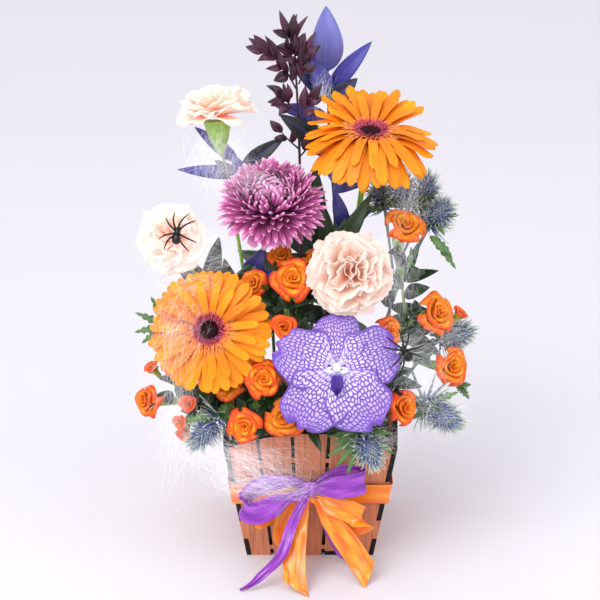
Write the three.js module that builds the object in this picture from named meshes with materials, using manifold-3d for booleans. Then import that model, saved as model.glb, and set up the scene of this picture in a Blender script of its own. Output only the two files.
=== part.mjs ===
// Flower basket arrangement: a tapered slatted plywood box with wet foam, filled with
// gerberas, a chrysanthemum, carnations, an orchid, spray roses, sea holly, ruscus and
// burgundy foliage, tied with an orange and a purple satin ribbon, with two toy spiders.
// Millimetres, +Z up. The origin is the centre of the basket's underside; -Y is the front.
import * as THREE from 'three';
import { mergeVertices } from 'three/addons/utils/BufferGeometryUtils.js';
import { ConvexGeometry } from 'three/addons/geometries/ConvexGeometry.js';
import Module from 'manifold-3d';

const wasm = await Module();
wasm.setup();

// ---- driving dimensions ------------------------------------------------------------
const GAP = 0.35; // clearance between touching pieces
const ROOM = 0.5; // how much larger than its bloom a bloom's room is
const PLY = 4; // plywood thickness
const BASE_HALF = 56; // half the outer width of the box at the bottom
const TOP_HALF = 74; // half the outer width at the corner tops
const CORNER_HEIGHT = 113; // height of the corner tops
const ARCH_RISE = 16.5; // how far each panel's middle stands above its corners
const SLOT_WIDTH = 3;
const SLOT_BRIDGE = 4.5; // wood left between two slots of one column
const SLOT_TOP_LENGTH = 25; // slot that opens at the top edge
const SLOT_FOOT_LENGTH = 7; // slot that opens at the bottom edge
const SLOT_COLUMNS = [-0.595, -0.203, 0.203, 0.595]; // share of the panel's half width
const SIDE_FINGERS = [[0, 18], [39, 58], [81, 140]]; // heights of the side panels' fingers
const FRONT_FINGERS = [[18, 39], [58, 81]]; // heights of the front and back panels' fingers
const FINGER_GAP = 0.5; // play above and below each finger
const FLOOR_TAB_WIDTH = 12;
const FLOOR_TAB_PLACES = [-19, 19];
const LINER_WALL = 0.9;
const LINER_HEIGHT = 98;
const FOAM_TOP = 110;
const FOAM_DEPTH = 20; // how deep the stems stand in the foam
const FOAM_HOLE_PLAY = 1.5; // how much wider than its stem a hole in the foam is
const RIBBON_WIDTH = 20;
const RIBBON_THICK = 0.7;
const BAND_FOOT = 59; // height of the ribbon's lower edge, measured up the panel
const FIRST_FORK = 0.6; // share of a spray's trunk below its first branch
const GERBERA_SEAT = 6; // how far below its petals' plane a gerbera's flat foot lies
const GERBERA_FRONT_DROOP = 0.7; // how much more the front rays droop, as a share of the droop
const CHRYSANTHEMUM_SEAT = 24; // the same for the chrysanthemum, below its middle
const RIM_RISE = 0.4; // how much a lobed rim rises where it swings out, as a share of the swing
const CARNATION_SEAT = 0.28; // the same, as a share of the carnation's radius
const CARNATION_CALYX = 0.3; // radius of the green calyx, as a share of the carnation's radius
const ROSE_SEAT = 0.5; // the same, as a share of the rose's radius
const SPIDER_TREAD = -5; // how far a spider's toes reach below its body, before they are cut clear
const WEB_THREAD = 0.5; // radius of a cobweb thread
const LEAF_THICK = 1.1;
const LEAF_FOOT = 1.5; // width of a leaf where it springs from its stem
const SMALL_LEAF = 15; // leaves narrower than this have one station fewer

const LEAN = Math.atan((TOP_HALF - BASE_HALF) / CORNER_HEIGHT);
const SLANT = Math.hypot(CORNER_HEIGHT, TOP_HALF - BASE_HALF);

// ---- materials ---------------------------------------------------------------------
const looks = {
  wood: ['#c98266', 0.62],
  liner: ['#2c2f2c', 0.45],
  foam: ['#3f6b3c', 0.95],
  ribbonOrange: ['#ff8c10', 0.3],
  ribbonPurple: ['#a040c8', 0.3],
  gerberaRay: ['#ff8c1a', 0.55],
  gerberaEye: ['#5a1420', 0.8],
  chrysanthemum: ['#b868b0', 0.6],
  carnation: ['#f8dccb', 0.65],
  orchid: ['#6a55cc', 0.5],
  rose: ['#ff6a12', 0.55],
  stem: ['#6f9a3e', 0.6],
  seaHolly: ['#5a5f9a', 0.7],
  ruscus: ['#4b4f9e', 0.55],
  burgundy: ['#4a1f33', 0.6],
  green: ['#2f4a2c', 0.6],
  spider: ['#0c0c0e', 0.35],
  web: ['#f2f2f4', 0.9],
};

function material(look) {
  const [color, roughness] = looks[look];
  return new THREE.MeshStandardMaterial({ color, roughness, metalness: 0 });
}

// ---- solids ------------------------------------------------------------------------
function toSolid(geometry) {
  const bare = geometry.clone();
  bare.deleteAttribute('normal');
  bare.deleteAttribute('uv');
  const merged = mergeVertices(bare, 1e-4);
  return new wasm.Manifold(new wasm.Mesh({
    numProp: 3,
    vertProperties: new Float32Array(merged.attributes.position.array),
    triVerts: new Uint32Array(merged.index.array),
  }));
}

function toGeometry(solid) {
  const mesh = solid.getMesh();
  const geometry = new THREE.BufferGeometry();
  geometry.setAttribute('position', new THREE.BufferAttribute(mesh.vertProperties, 3));
  geometry.setIndex(new THREE.BufferAttribute(mesh.triVerts, 1));
  geometry.computeVertexNormals();
  return geometry;
}

function join(solids) {
  return wasm.Manifold.union(solids);
}

function moved(solid, matrix) {
  return solid.transform(matrix.elements);
}

// The largest connected body of a solid; loose scraps and sealed hollows are dropped.
function largest(solid) {
  const bodies = solid.decompose();
  return bodies.reduce((best, body) => (body.volume() > best.volume() ? body : best));
}

// The room a solid needs when it is followed closely: itself, shifted a gap each way.
function closeRoom(solid) {
  const shifts = [[GAP, 0, 0], [-GAP, 0, 0], [0, GAP, 0], [0, -GAP, 0], [0, 0, GAP], [0, 0, -GAP]];
  return join([solid, ...shifts.map((shift) => solid.translate(shift))]);
}

// The room of a whole bloom in its own frame: its convex hull, wider by ROOM all round
// and thicker by ROOM above and below.
function hullRoom(solid) {
  const { vertProperties } = solid.getMesh();
  const points = [];
  for (let i = 0; i < vertProperties.length; i += 3) {
    points.push(new THREE.Vector3().fromArray(vertProperties, i));
  }
  const box = new THREE.Box3().setFromPoints(points);
  const middle = box.getCenter(new THREE.Vector3());
  const half = box.getSize(new THREE.Vector3()).multiplyScalar(0.5);
  const wider = new THREE.Vector3(1 + ROOM / half.x, 1 + ROOM / half.y, 1);
  const shifted = points.flatMap((point) => {
    const out = point.sub(middle).multiply(wider).add(middle);
    return [-ROOM, ROOM].map((rise) => out.clone().setZ(out.z + rise));
  });
  return toSolid(new ConvexGeometry(shifted));
}

// ---- repeatable random numbers -----------------------------------------------------
function seeded(seed) {
  let state = seed;
  return () => {
    state = (state * 1664525 + 1013904223) % 4294967296;
    return state / 4294967296;
  };
}

// ---- shapes ------------------------------------------------------------------------
const vec = (list) => new THREE.Vector3(...list);

// A petal or leaf that runs along +X. Each station is [along, rise, width]; a width of 0
// is a point. Its section has two edges and a mid rib above and below, so both faces are
// split alike. A positive cup lifts the edges over the rib.
function blade(stations, thick, cup = 0) {
  const positions = [];
  const faces = [];
  const rings = stations.map(([along, rise, width], i) => {
    const before = stations[Math.max(i - 1, 0)];
    const after = stations[Math.min(i + 1, stations.length - 1)];
    const slope = Math.atan2(after[1] - before[1], after[0] - before[0]);
    const nx = -Math.sin(slope);
    const nz = Math.cos(slope);
    const first = positions.length / 3;
    if (width === 0) {
      positions.push(along, 0, rise);
      return [first, first, first, first];
    }
    const lift = cup * width;
    const half = thick / 2;
    positions.push(along + nx * lift, width / 2, rise + nz * lift);
    positions.push(along + nx * half, 0, rise + nz * half);
    positions.push(along + nx * lift, -width / 2, rise + nz * lift);
    positions.push(along - nx * half, 0, rise - nz * half);
    return [first, first + 1, first + 2, first + 3];
  });
  const face = (a, b, c) => {
    if (a !== b && b !== c && a !== c) faces.push(a, b, c);
  };
  for (let i = 0; i < rings.length - 1; i += 1) {
    const [l, t, r, b] = rings[i];
    const [l2, t2, r2, b2] = rings[i + 1];
    face(l, t, t2);
    face(l, t2, l2);
    face(r, t2, t);
    face(r, r2, t2);
    face(l, b2, b);
    face(l, l2, b2);
    face(r, b, b2);
    face(r, b2, r2);
  }
  const [l, t, r, b] = rings[0];
  face(l, b, t);
  face(r, t, b);
  const [le, te, re, be] = rings[rings.length - 1];
  face(le, te, be);
  face(re, be, te);
  const geometry = new THREE.BufferGeometry();
  geometry.setAttribute('position', new THREE.Float32BufferAttribute(positions, 3));
  geometry.setIndex(faces);
  return geometry;
}

// A blade turned about the bloom's axis, as one petal of a ring.
function petalAt(stations, thick, cup, turn, lift = 0) {
  const geometry = blade(stations, thick, cup);
  geometry.rotateZ(turn);
  geometry.translate(0, 0, lift);
  return toSolid(geometry);
}

// A solid turned out of a profile of [radius, height] pairs, which starts and ends on the axis.
function turned(profile, sides) {
  const geometry = new THREE.LatheGeometry(profile.map(([r, z]) => new THREE.Vector2(r, z)), sides);
  geometry.rotateX(Math.PI / 2);
  return toSolid(geometry);
}

// A turned solid whose rims are lobed, as layered petals are: each station is
// [radius, height, swing, side], where swing moves every second point out and up by that
// share of the radius and side (1 or -1) sets which of the points go out.
function lobed(stations, sides) {
  const inner = stations.slice(1, -1);
  const positions = [0, 0, stations[0][1]];
  for (const [radius, height, swing = 0, side = 1] of inner) {
    for (let i = 0; i < sides; i += 1) {
      const turn = (i / sides) * Math.PI * 2;
      const way = (i % 2 ? 1 : -1) * side * swing;
      const out = radius * (1 + way);
      positions.push(out * Math.cos(turn), out * Math.sin(turn), height + radius * way * RIM_RISE);
    }
  }
  positions.push(0, 0, stations[stations.length - 1][1]);
  const last = positions.length / 3 - 1;
  const faces = [];
  const at = (row, i) => 1 + row * sides + (i % sides);
  for (let i = 0; i < sides; i += 1) {
    faces.push(0, at(0, i + 1), at(0, i));
    faces.push(last, at(inner.length - 1, i), at(inner.length - 1, i + 1));
    for (let row = 0; row < inner.length - 1; row += 1) {
      faces.push(at(row, i), at(row, i + 1), at(row + 1, i + 1));
      faces.push(at(row, i), at(row + 1, i + 1), at(row + 1, i));
    }
  }
  const geometry = new THREE.BufferGeometry();
  geometry.setAttribute('position', new THREE.Float32BufferAttribute(positions, 3));
  geometry.setIndex(faces);
  return toSolid(geometry);
}

function tube(points, radius, steps, sides = 5) {
  const shape = new THREE.Shape();
  for (let i = 0; i < sides; i += 1) {
    const turn = (i / sides) * Math.PI * 2;
    if (i === 0) shape.moveTo(radius, 0);
    else shape.lineTo(radius * Math.cos(turn), radius * Math.sin(turn));
  }
  shape.closePath();
  const path = new THREE.CatmullRomCurve3(points, false, 'centripetal');
  return toSolid(new THREE.ExtrudeGeometry(shape, { steps, extrudePath: path, bevelEnabled: false }));
}

// Turns local +Z to the way a bloom faces, spins it, and puts it in its place.
function facing(place, toward, spin = 0) {
  const turn = new THREE.Quaternion().setFromUnitVectors(
    new THREE.Vector3(0, 0, 1),
    vec(toward).normalize(),
  );
  turn.multiply(new THREE.Quaternion().setFromAxisAngle(new THREE.Vector3(0, 0, 1), spin));
  return new THREE.Matrix4().compose(vec(place), turn, new THREE.Vector3(1, 1, 1));
}

// ---- placing pieces ----------------------------------------------------------------
const arrangement = new THREE.Group();
const taken = []; // rooms of the pieces placed so far
const placed = new Map(); // each finished solid by its name
const feet = []; // [x, y, radius] of each stem that stands in the foam
const everyName = () => taken.map(({ name }) => name);

function boxesMeet(a, b) {
  return [0, 1, 2].every((k) => a.min[k] <= b.max[k] && b.min[k] <= a.max[k]);
}

function clearOf(solid, skip = []) {
  let rest = solid;
  for (const { name, room, box } of taken) {
    if (!skip.includes(name) && boxesMeet(box, rest.boundingBox())) rest = rest.subtract(room);
  }
  return rest;
}

function keepRoom(name, room) {
  taken.push({ name, room, box: room.boundingBox() });
}

// Adds a piece modelled in its own frame; what already stands in its way is cut clear.
// `room` draws, in the same frame, the space that later pieces keep out of.
function addPiece(name, look, local, matrix = new THREE.Matrix4(), options = {}) {
  const { room = hullRoom, skip = [] } = options;
  const world = largest(clearOf(moved(local, matrix), skip));
  const mesh = new THREE.Mesh(toGeometry(moved(world, matrix.clone().invert())), material(look));
  mesh.name = name;
  mesh.applyMatrix4(matrix);
  arrangement.add(mesh);
  placed.set(name, world);
  if (room) keepRoom(name, moved(room(local), matrix));
}

// ---- basket ------------------------------------------------------------------------
const panelHalf = (s) => BASE_HALF + ((TOP_HALF - BASE_HALF) * s) / SLANT;
const panelTop = (x) => SLANT + ARCH_RISE * (1 - (x / TOP_HALF) ** 2);

function flatPiece(points, depth) {
  const shape = new THREE.Shape(points.map(([x, y]) => new THREE.Vector2(x, y)));
  return toSolid(new THREE.ExtrudeGeometry(shape, { depth, bevelEnabled: false }));
}

// One slatted panel lying in its own plane: x across, y up the slant, z inwards.
function panelBlank() {
  const outline = [[-BASE_HALF, 0], [BASE_HALF, 0], [TOP_HALF, SLANT]];
  const archSteps = 10;
  for (let i = 1; i < archSteps; i += 1) {
    const x = TOP_HALF * (1 - (2 * i) / archSteps);
    outline.push([x, panelTop(x)]);
  }
  outline.push([-TOP_HALF, SLANT]);
  const cuts = [];
  for (const share of SLOT_COLUMNS) {
    const middle = (s) => share * panelHalf(s);
    const top = panelTop(share * TOP_HALF);
    const slotEnd = top - SLOT_TOP_LENGTH;
    const spans = [
      [-5, SLOT_FOOT_LENGTH],
      [SLOT_FOOT_LENGTH + SLOT_BRIDGE, slotEnd - SLOT_BRIDGE],
      [slotEnd, top + 5],
    ];
    for (const [low, high] of spans) {
      const half = SLOT_WIDTH / 2;
      cuts.push(flatPiece([
        [middle(low) - half, low],
        [middle(low) + half, low],
        [middle(high) + half, high],
        [middle(high) - half, high],
      ], PLY * 3).translate([0, 0, -PLY]));
    }
  }
  for (const x of FLOOR_TAB_PLACES) {
    const half = FLOOR_TAB_WIDTH / 2 + GAP;
    const high = PLY + 2 * GAP;
    cuts.push(flatPiece([[x - half, -5], [x + half, -5], [x + half, high], [x - half, high]], PLY * 3)
      .translate([0, 0, -PLY]));
  }
  return flatPiece(outline, PLY).subtract(join(cuts));
}

// Notches in both side edges of a panel, where its neighbours' fingers come through.
function edgeNotches(spans) {
  const depth = PLY / Math.cos(LEAN) + GAP;
  const cuts = [];
  for (const [low, high] of spans) {
    const start = low === 0 ? -5 : low - FINGER_GAP;
    const end = high + FINGER_GAP;
    for (const side of [-1, 1]) {
      const inner = (s) => side * (panelHalf(s) - depth);
      const outer = (s) => side * (panelHalf(s) + PLY);
      const points = [[inner(start), start], [outer(start), start], [outer(end), end], [inner(end), end]];
      cuts.push(flatPiece(side < 0 ? points.reverse() : points, PLY * 3).translate([0, 0, -PLY]));
    }
  }
  return join(cuts);
}

// Stands a panel up at the front, leaning outwards, and turns it to its side of the box.
function panelMatrix(quarter) {
  const upright = new THREE.Matrix4().makeRotationX(Math.PI / 2 + LEAN);
  const place = new THREE.Matrix4().makeTranslation(0, -BASE_HALF, 0);
  const turn = new THREE.Matrix4().makeRotationZ((quarter * Math.PI) / 2);
  return turn.multiply(place).multiply(upright);
}

function buildBasket() {
  const blank = panelBlank();
  const long = blank.subtract(edgeNotches(SIDE_FINGERS)).translate([0, 0, -PLY]);
  const short = blank.subtract(edgeNotches(FRONT_FINGERS)).translate([0, 0, -PLY]);
  addPiece('panel_front', 'wood', long, panelMatrix(0), { room: null });
  addPiece('panel_right', 'wood', short, panelMatrix(1), { room: null });
  addPiece('panel_back', 'wood', long, panelMatrix(2), { room: null });
  addPiece('panel_left', 'wood', short, panelMatrix(3), { room: null });
  const plate = BASE_HALF - PLY / Math.cos(LEAN) - GAP;
  const end = BASE_HALF - GAP / 2;
  const half = FLOOR_TAB_WIDTH / 2;
  const tabs = FLOOR_TAB_PLACES.flatMap((x) => [
    flatPiece([[x - half, -end], [x + half, -end], [x + half, end], [x - half, end]], PLY),
    flatPiece([[-end, x - half], [end, x - half], [end, x + half], [-end, x + half]], PLY),
  ]);
  const floor = flatPiece([[-plate, -plate], [plate, -plate], [plate, plate], [-plate, plate]], PLY);
  addPiece('floor', 'wood', join([floor, ...tabs]), new THREE.Matrix4(), { room: null });
}

// Everything placed from now on keeps out of the four panels.
function keepPanelRooms() {
  const walls = hullRoom(panelBlank().translate([0, 0, -PLY]));
  for (let quarter = 0; quarter < 4; quarter += 1) {
    keepRoom(`panel_${quarter}`, moved(walls, panelMatrix(quarter)));
  }
}

// A tray of thin plastic film inside the box; its walls lean as the panels do.
function taperedBlock(halfAtFoot, low, high) {
  const halfAtTop = halfAtFoot + Math.tan(LEAN) * (high - low);
  const geometry = new THREE.CylinderGeometry(
    halfAtTop * Math.SQRT2,
    halfAtFoot * Math.SQRT2,
    high - low,
    4,
  );
  geometry.rotateX(Math.PI / 2);
  geometry.rotateZ(Math.PI / 4);
  geometry.translate(0, 0, (high + low) / 2);
  return toSolid(geometry);
}

const LINER_FOOT = PLY + GAP;
const LINER_HALF = BASE_HALF - PLY / Math.cos(LEAN) - 2 * GAP + Math.tan(LEAN) * LINER_FOOT;
const FOAM_FOOT = LINER_FOOT + LINER_WALL + GAP;
const FOAM_HALF = LINER_HALF - LINER_WALL - 2 * GAP + Math.tan(LEAN) * (LINER_WALL + GAP);

function buildLiner() {
  const outer = taperedBlock(LINER_HALF, LINER_FOOT, LINER_HEIGHT);
  const innerFoot = LINER_FOOT + LINER_WALL;
  const innerHalf = LINER_HALF - LINER_WALL + Math.tan(LEAN) * LINER_WALL;
  const inner = taperedBlock(innerHalf, innerFoot, LINER_HEIGHT + 5);
  addPiece('liner', 'liner', outer.subtract(inner), new THREE.Matrix4(), { room: null });
}

// The wet foam block, with a plain straight hole for each stem that stands in it.
function buildFoam() {
  const holes = feet.map(([x, y, radius]) => {
    const depth = FOAM_DEPTH + 10;
    const hole = new THREE.CylinderGeometry(radius + FOAM_HOLE_PLAY, radius + FOAM_HOLE_PLAY, depth, 5);
    hole.rotateX(Math.PI / 2);
    hole.translate(x, y, FOAM_TOP - FOAM_DEPTH - GAP + depth / 2);
    return toSolid(hole);
  });
  const block = taperedBlock(FOAM_HALF, FOAM_FOOT, FOAM_TOP).subtract(join(holes));
  addPiece('foam', 'foam', block, new THREE.Matrix4(), { room: null, skip: everyName() });
}

// ---- ribbons -----------------------------------------------------------------------
// A flat ribbon along a list of [place, across] pairs.
function strip(stations, width, thick, closed = false) {
  const count = stations.length;
  const positions = [];
  stations.forEach(([place, across], i) => {
    const before = stations[closed ? (i + count - 1) % count : Math.max(i - 1, 0)][0];
    const after = stations[closed ? (i + 1) % count : Math.min(i + 1, count - 1)][0];
    const along = vec(after).sub(vec(before)).normalize();
    const side = vec(across).normalize();
    const out = new THREE.Vector3().crossVectors(along, side).normalize().multiplyScalar(thick / 2);
    side.crossVectors(out, along).normalize().multiplyScalar(width / 2);
    for (const [a, b] of [[1, 1], [1, -1], [-1, -1], [-1, 1]]) {
      positions.push(...vec(place).addScaledVector(side, a).addScaledVector(out, b).toArray());
    }
  });
  const faces = [];
  const segments = closed ? count : count - 1;
  for (let i = 0; i < segments; i += 1) {
    const here = i * 4;
    const next = ((i + 1) % count) * 4;
    for (let k = 0; k < 4; k += 1) {
      const a = here + k;
      const b = here + ((k + 1) % 4);
      const c = next + ((k + 1) % 4);
      const d = next + k;
      faces.push(a, d, c, a, c, b);
    }
  }
  if (!closed) {
    const last = (count - 1) * 4;
    faces.push(0, 1, 2, 0, 2, 3);
    faces.push(last, last + 2, last + 1, last, last + 3, last + 2);
  }
  const geometry = new THREE.BufferGeometry();
  geometry.setAttribute('position', new THREE.Float32BufferAttribute(positions, 3));
  geometry.setIndex(faces);
  const solid = toSolid(geometry);
  return solid.volume() < 0 ? toSolid(flipped(geometry)) : solid;
}

function flipped(geometry) {
  const turnedOver = geometry.clone();
  const index = Array.from(geometry.index.array);
  for (let i = 0; i < index.length; i += 3) [index[i], index[i + 1]] = [index[i + 1], index[i]];
  turnedOver.setIndex(index);
  return turnedOver;
}

// A ribbon laid once round the box at its lean, standing off the panels by `off`.
function band(low, off) {
  const middle = (low + RIBBON_WIDTH / 2) * Math.cos(LEAN);
  const half = BASE_HALF + Math.tan(LEAN) * middle + off / Math.cos(LEAN);
  const stations = [];
  const round = 0.6 + off;
  const steps = 3;
  for (let corner = 0; corner < 4; corner += 1) {
    for (let i = 0; i <= steps; i += 1) {
      const turn = (corner * Math.PI) / 2 + (i / steps) * (Math.PI / 2);
      const inset = half - round;
      const centre = (corner * Math.PI) / 2 + Math.PI / 4;
      const x = Math.SQRT2 * inset * Math.cos(centre) + round * Math.cos(turn);
      const y = Math.SQRT2 * inset * Math.sin(centre) + round * Math.sin(turn);
      const lean = Math.tan(LEAN) / Math.max(Math.abs(Math.cos(turn)), Math.abs(Math.sin(turn)));
      stations.push([[x, y, middle], [lean * Math.cos(turn), lean * Math.sin(turn), 1]]);
    }
  }
  return strip(stations, RIBBON_WIDTH, RIBBON_THICK, true);
}

const KNOT = [0, -75.5, 73];
const UPRIGHT = [0, -0.15, 1];

// The bow's two loops and three tails of purple ribbon, held by its knot.
const PURPLE_STRANDS = [
  { width: 18, points: [
    [[-4, -76, 73], UPRIGHT], [[-24, -84, 68], UPRIGHT], [[-46, -87, 62], UPRIGHT],
    [[-57, -84, 60], UPRIGHT], [[-59, -79, 60], UPRIGHT], [[-52, -75.5, 62], UPRIGHT],
    [[-28, -75, 69], UPRIGHT], [[-3, -75.5, 73], UPRIGHT],
  ] },
  { width: 18, points: [
    [[4, -76, 74], UPRIGHT], [[20, -83, 79], UPRIGHT], [[36, -88, 84], UPRIGHT],
    [[45, -86, 85], UPRIGHT], [[47, -81, 84], UPRIGHT], [[38, -76.5, 80], UPRIGHT],
    [[20, -75.5, 76], UPRIGHT], [[3, -75.5, 73], UPRIGHT],
  ] },
  { width: 9, points: [
    [[-3, -76, 70], [1, 0, 0.3]], [[-9, -81, 58], [1, 0, 0.4]], [[-17, -87, 42], [0.9, 0.3, 0.4]],
    [[-22, -91, 30], [0.9, 0.4, 0.4]], [[-29, -98, 17], [0.9, 0.3, 0.6]],
    [[-41, -107, 7], [0.7, -0.5, 0.3]], [[-60, -114, 1.2], [0.4, -0.9, 0]],
  ] },
];

const ORANGE_STRANDS = [
  { width: 17, points: [
    [[-5, -72, 61], [1, 0, 0]], [[-12, -74, 50], [1, 0, 0.1]], [[-15, -80, 32], [1, 0, 0.1]],
    [[-15, -92, 14], [1, 0, 0.1]], [[-10, -112, 4], [1, 0.1, 0]], [[-6, -124, 1.2], [1, 0.1, 0]],
  ] },
  { width: 20, points: [
    [[8, -72, 61], [1, 0, 0]], [[22, -76, 52], [1, 0, 0.1]], [[31, -84, 38], [1, 0, 0.3]],
    [[40, -92, 22], [1, 0, 0.4]], [[48, -104, 5], [0.9, 0.3, 0.3]],
  ] },
  { width: 12, points: [
    [[-5, -72, 60], [0, 0, 1]], [[-26, -73.5, 50], [0.3, 0, 1]], [[-40, -75, 44], [0.3, 0, 1]],
    [[-43, -73, 43], [0.3, 0, 1]], [[-32, -70.5, 46], [0.3, 0, 1]], [[-4, -70.5, 60], [0.2, 0, 1]],
  ] },
];

// One end of the purple ribbon hangs from the band, behind the orange tails.
const PURPLE_END = { width: 9, points: [
  [[12, -66.6, 62], [1, 0, 0]], [[14, -67.2, 50], [1, 0, 0.1]], [[19, -69, 36], [1, 0, 0.3]],
  [[26, -69, 18], [1, 0, 0.3]], [[33, -68, 4], [1, 0.1, 0.3]],
] };

function strands(list) {
  return list.map(({ width, points }) => strip(points, width, RIBBON_THICK));
}

function ball(place, radii, around = 8, down = 6) {
  const geometry = new THREE.SphereGeometry(1, around, down);
  geometry.scale(...radii);
  geometry.translate(...place);
  return toSolid(geometry);
}

function buildRibbons() {
  const still = new THREE.Matrix4();
  const close = { room: closeRoom };
  const purpleBand = join([band(BAND_FOOT - 1, 1.2), ...strands([PURPLE_END])]);
  addPiece('ribbon_purple_band', 'ribbonPurple', purpleBand, still, close);
  addPiece('ribbon_orange_band', 'ribbonOrange', band(BAND_FOOT, 2.5), still, close);
  const purple = join([...strands(PURPLE_STRANDS), ball(KNOT, [7.5, 4, 8], 6, 4)]);
  addPiece('bow_purple', 'ribbonPurple', purple, still, close);
  const orange = join([...strands(ORANGE_STRANDS), ball([0, -72.6, 60], [9, 2.4, 4], 6, 4)]);
  addPiece('bow_orange', 'ribbonOrange', orange, still, close);
}

// ---- blooms ------------------------------------------------------------------------
function ring(count, offset = 0) {
  return Array.from({ length: count }, (_, i) => ((i + offset) / count) * Math.PI * 2);
}

// The rays droop most at the front of the bloom, which is its own -Y side.
function gerberaRays(radius, droop) {
  const k = radius / 56;
  const ray = (lift, turn) => {
    const fall = droop * (1 - GERBERA_FRONT_DROOP * Math.sin(turn));
    const line = [[7 * k, lift, 2.2], [32 * k, lift + 2.6, 12.5 * k], [radius, lift - fall, 5.5]];
    return petalAt(line, 1.2, -0.04, turn);
  };
  const petals = [
    ...ring(12).map((turn) => ray(0.8, turn)),
    ...ring(12, 0.5).map((turn) => ray(-1.6, turn)),
  ];
  const foot = -GERBERA_SEAT;
  const receptacle = turned([[0, foot], [5, foot], [8.5 * k, -2], [8.5 * k, 2.8], [0, 2.8]], 8);
  return join([receptacle, ...petals]);
}

// The dark domed middle of a gerbera in its ring of short florets, raised by a formula.
function gerberaEye(radius) {
  const k = radius / 56;
  return lobed([
    [0, 3.3], [6 * k, 3.3], [13 * k, 7.4, 0.1], [12 * k, 8.4, 0.1], [7.5 * k, 5, 0.06, -1],
    [5 * k, 6.2, 0.05], [0, 6.8],
  ], 20);
}

function chrysanthemumHead(radius) {
  const layers = [
    [9, -22, 1.02, 7.6, -0.1], [9, 2, 1, 7.2, 0.02], [8, 26, 0.9, 6.6, 0.14], [6, 50, 0.8, 5.8, 0.18],
    [3, 74, 0.7, 5.4, 0.2],
  ];
  const petals = layers.flatMap(([count, tilt, share, width, curl], layer) => {
    const length = radius * share;
    const stations = [[radius * 0.4, 0, 2.4], [length * 0.7, 0, width], [length, length * curl, 0]];
    return ring(count, layer * 0.5).map((turn) => {
      const geometry = blade(stations, 1.5, 0.2);
      geometry.rotateY((-tilt * Math.PI) / 180);
      geometry.rotateZ(turn);
      return toSolid(geometry);
    });
  });
  const foot = -CHRYSANTHEMUM_SEAT;
  const receptacle = turned([[0, foot], [6, foot], [9, foot + 9], [0, foot + 9]], 6);
  const heart = ball([0, 0, 0], [radius * 0.48, radius * 0.48, radius * 0.46]);
  return join([heart, receptacle, ...petals]);
}

// A carnation: four ruffled, notched rims one inside the other.
function carnationHead(radius) {
  const r = radius;
  return lobed([
    [0, -CARNATION_SEAT * r], [0.2 * r, -CARNATION_SEAT * r],
    [0.62 * r, -0.1 * r, 0.04], [r, 0.08 * r, 0.07], [0.94 * r, 0.18 * r, 0.07],
    [0.66 * r, 0.12 * r, 0.06, -1], [0.78 * r, 0.42 * r, 0.09, -1], [0.66 * r, 0.46 * r, 0.09, -1],
    [0.42 * r, 0.3 * r, 0.08], [0.44 * r, 0.62 * r, 0.13], [0.3 * r, 0.62 * r, 0.13],
    [0.14 * r, 0.42 * r, 0.1, -1], [0, 0.66 * r],
  ], 12);
}

// A vanda orchid: an upper sepal, two petals, two large lower sepals, a lip and a column.
function orchidBloom(radius) {
  const k = radius / 54;
  const part = (turnDegrees, length, width) => {
    const stations = [
      [2, 0, 6], [length * 0.28, 2, width * 0.55], [length * 0.6, 3, width],
      [length * 0.86, 1, width * 0.86], [length, -1.5, width * 0.34],
    ].map(([a, z, w]) => [a * k, z, w * k]);
    return petalAt(stations, 1.6, 0.02, (turnDegrees * Math.PI) / 180);
  };
  const lipLine = [[1, 2, 4], [7, 10, 9], [16, 11, 8], [21, 7, 0]];
  const lip = blade(lipLine.map(([a, z, w]) => [a * k, z, w * k]), 2, 0.2);
  lip.rotateZ(-Math.PI / 2);
  return join([
    part(90, 45, 38), part(20, 52, 42), part(160, 52, 42), part(-56, 57, 46), part(-124, 57, 46),
    toSolid(lip),
    ball([0, 1, 3.5], [4.5 * k, 4.5 * k, 6], 6, 4),
  ]);
}

// A spray rose: three lobed rims of petals, one inside the other, round a pointed heart.
function roseHead(radius) {
  const r = radius;
  return lobed([
    [0, -ROSE_SEAT * r], [0.3 * r, -ROSE_SEAT * r],
    [0.7 * r, -0.15 * r, 0.06], [r, 0.24 * r, 0.1], [0.9 * r, 0.32 * r, 0.1],
    [0.58 * r, 0.02 * r, 0.05, -1], [0.68 * r, 0.52 * r, 0.1, -1], [0.56 * r, 0.56 * r, 0.1, -1],
    [0.3 * r, 0.2 * r, 0.08], [0.32 * r, 0.66 * r, 0.1], [0, 0.62 * r],
  ], 8);
}

// A closed bud with its green sepals: a pointed egg.
function bud(place, toward, radius) {
  const line = [[0, -1.2], [0.8, -0.5], [1, 0.3], [0, 1.6]].map(([r, z]) => [r * radius, z * radius]);
  return moved(turned(line, 5), facing(place, toward));
}

// A thistle-like sea holly head: a bumpy cone over a star of pointed bracts.
function seaHollyHead(place, toward, radius, height) {
  const r = radius;
  const h = height / 2;
  return moved(lobed([
    [0, -h * 0.9], [r * 1.8, -h * 0.66, 0.5], [r * 1.74, -h * 0.54, 0.5], [r * 0.72, -h * 0.5, 0.12],
    [r * 1.02, -h * 0.1, 0.14, -1], [r * 0.7, h * 0.55, 0.14], [0, h],
  ], 8), facing(place, toward));
}

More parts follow.
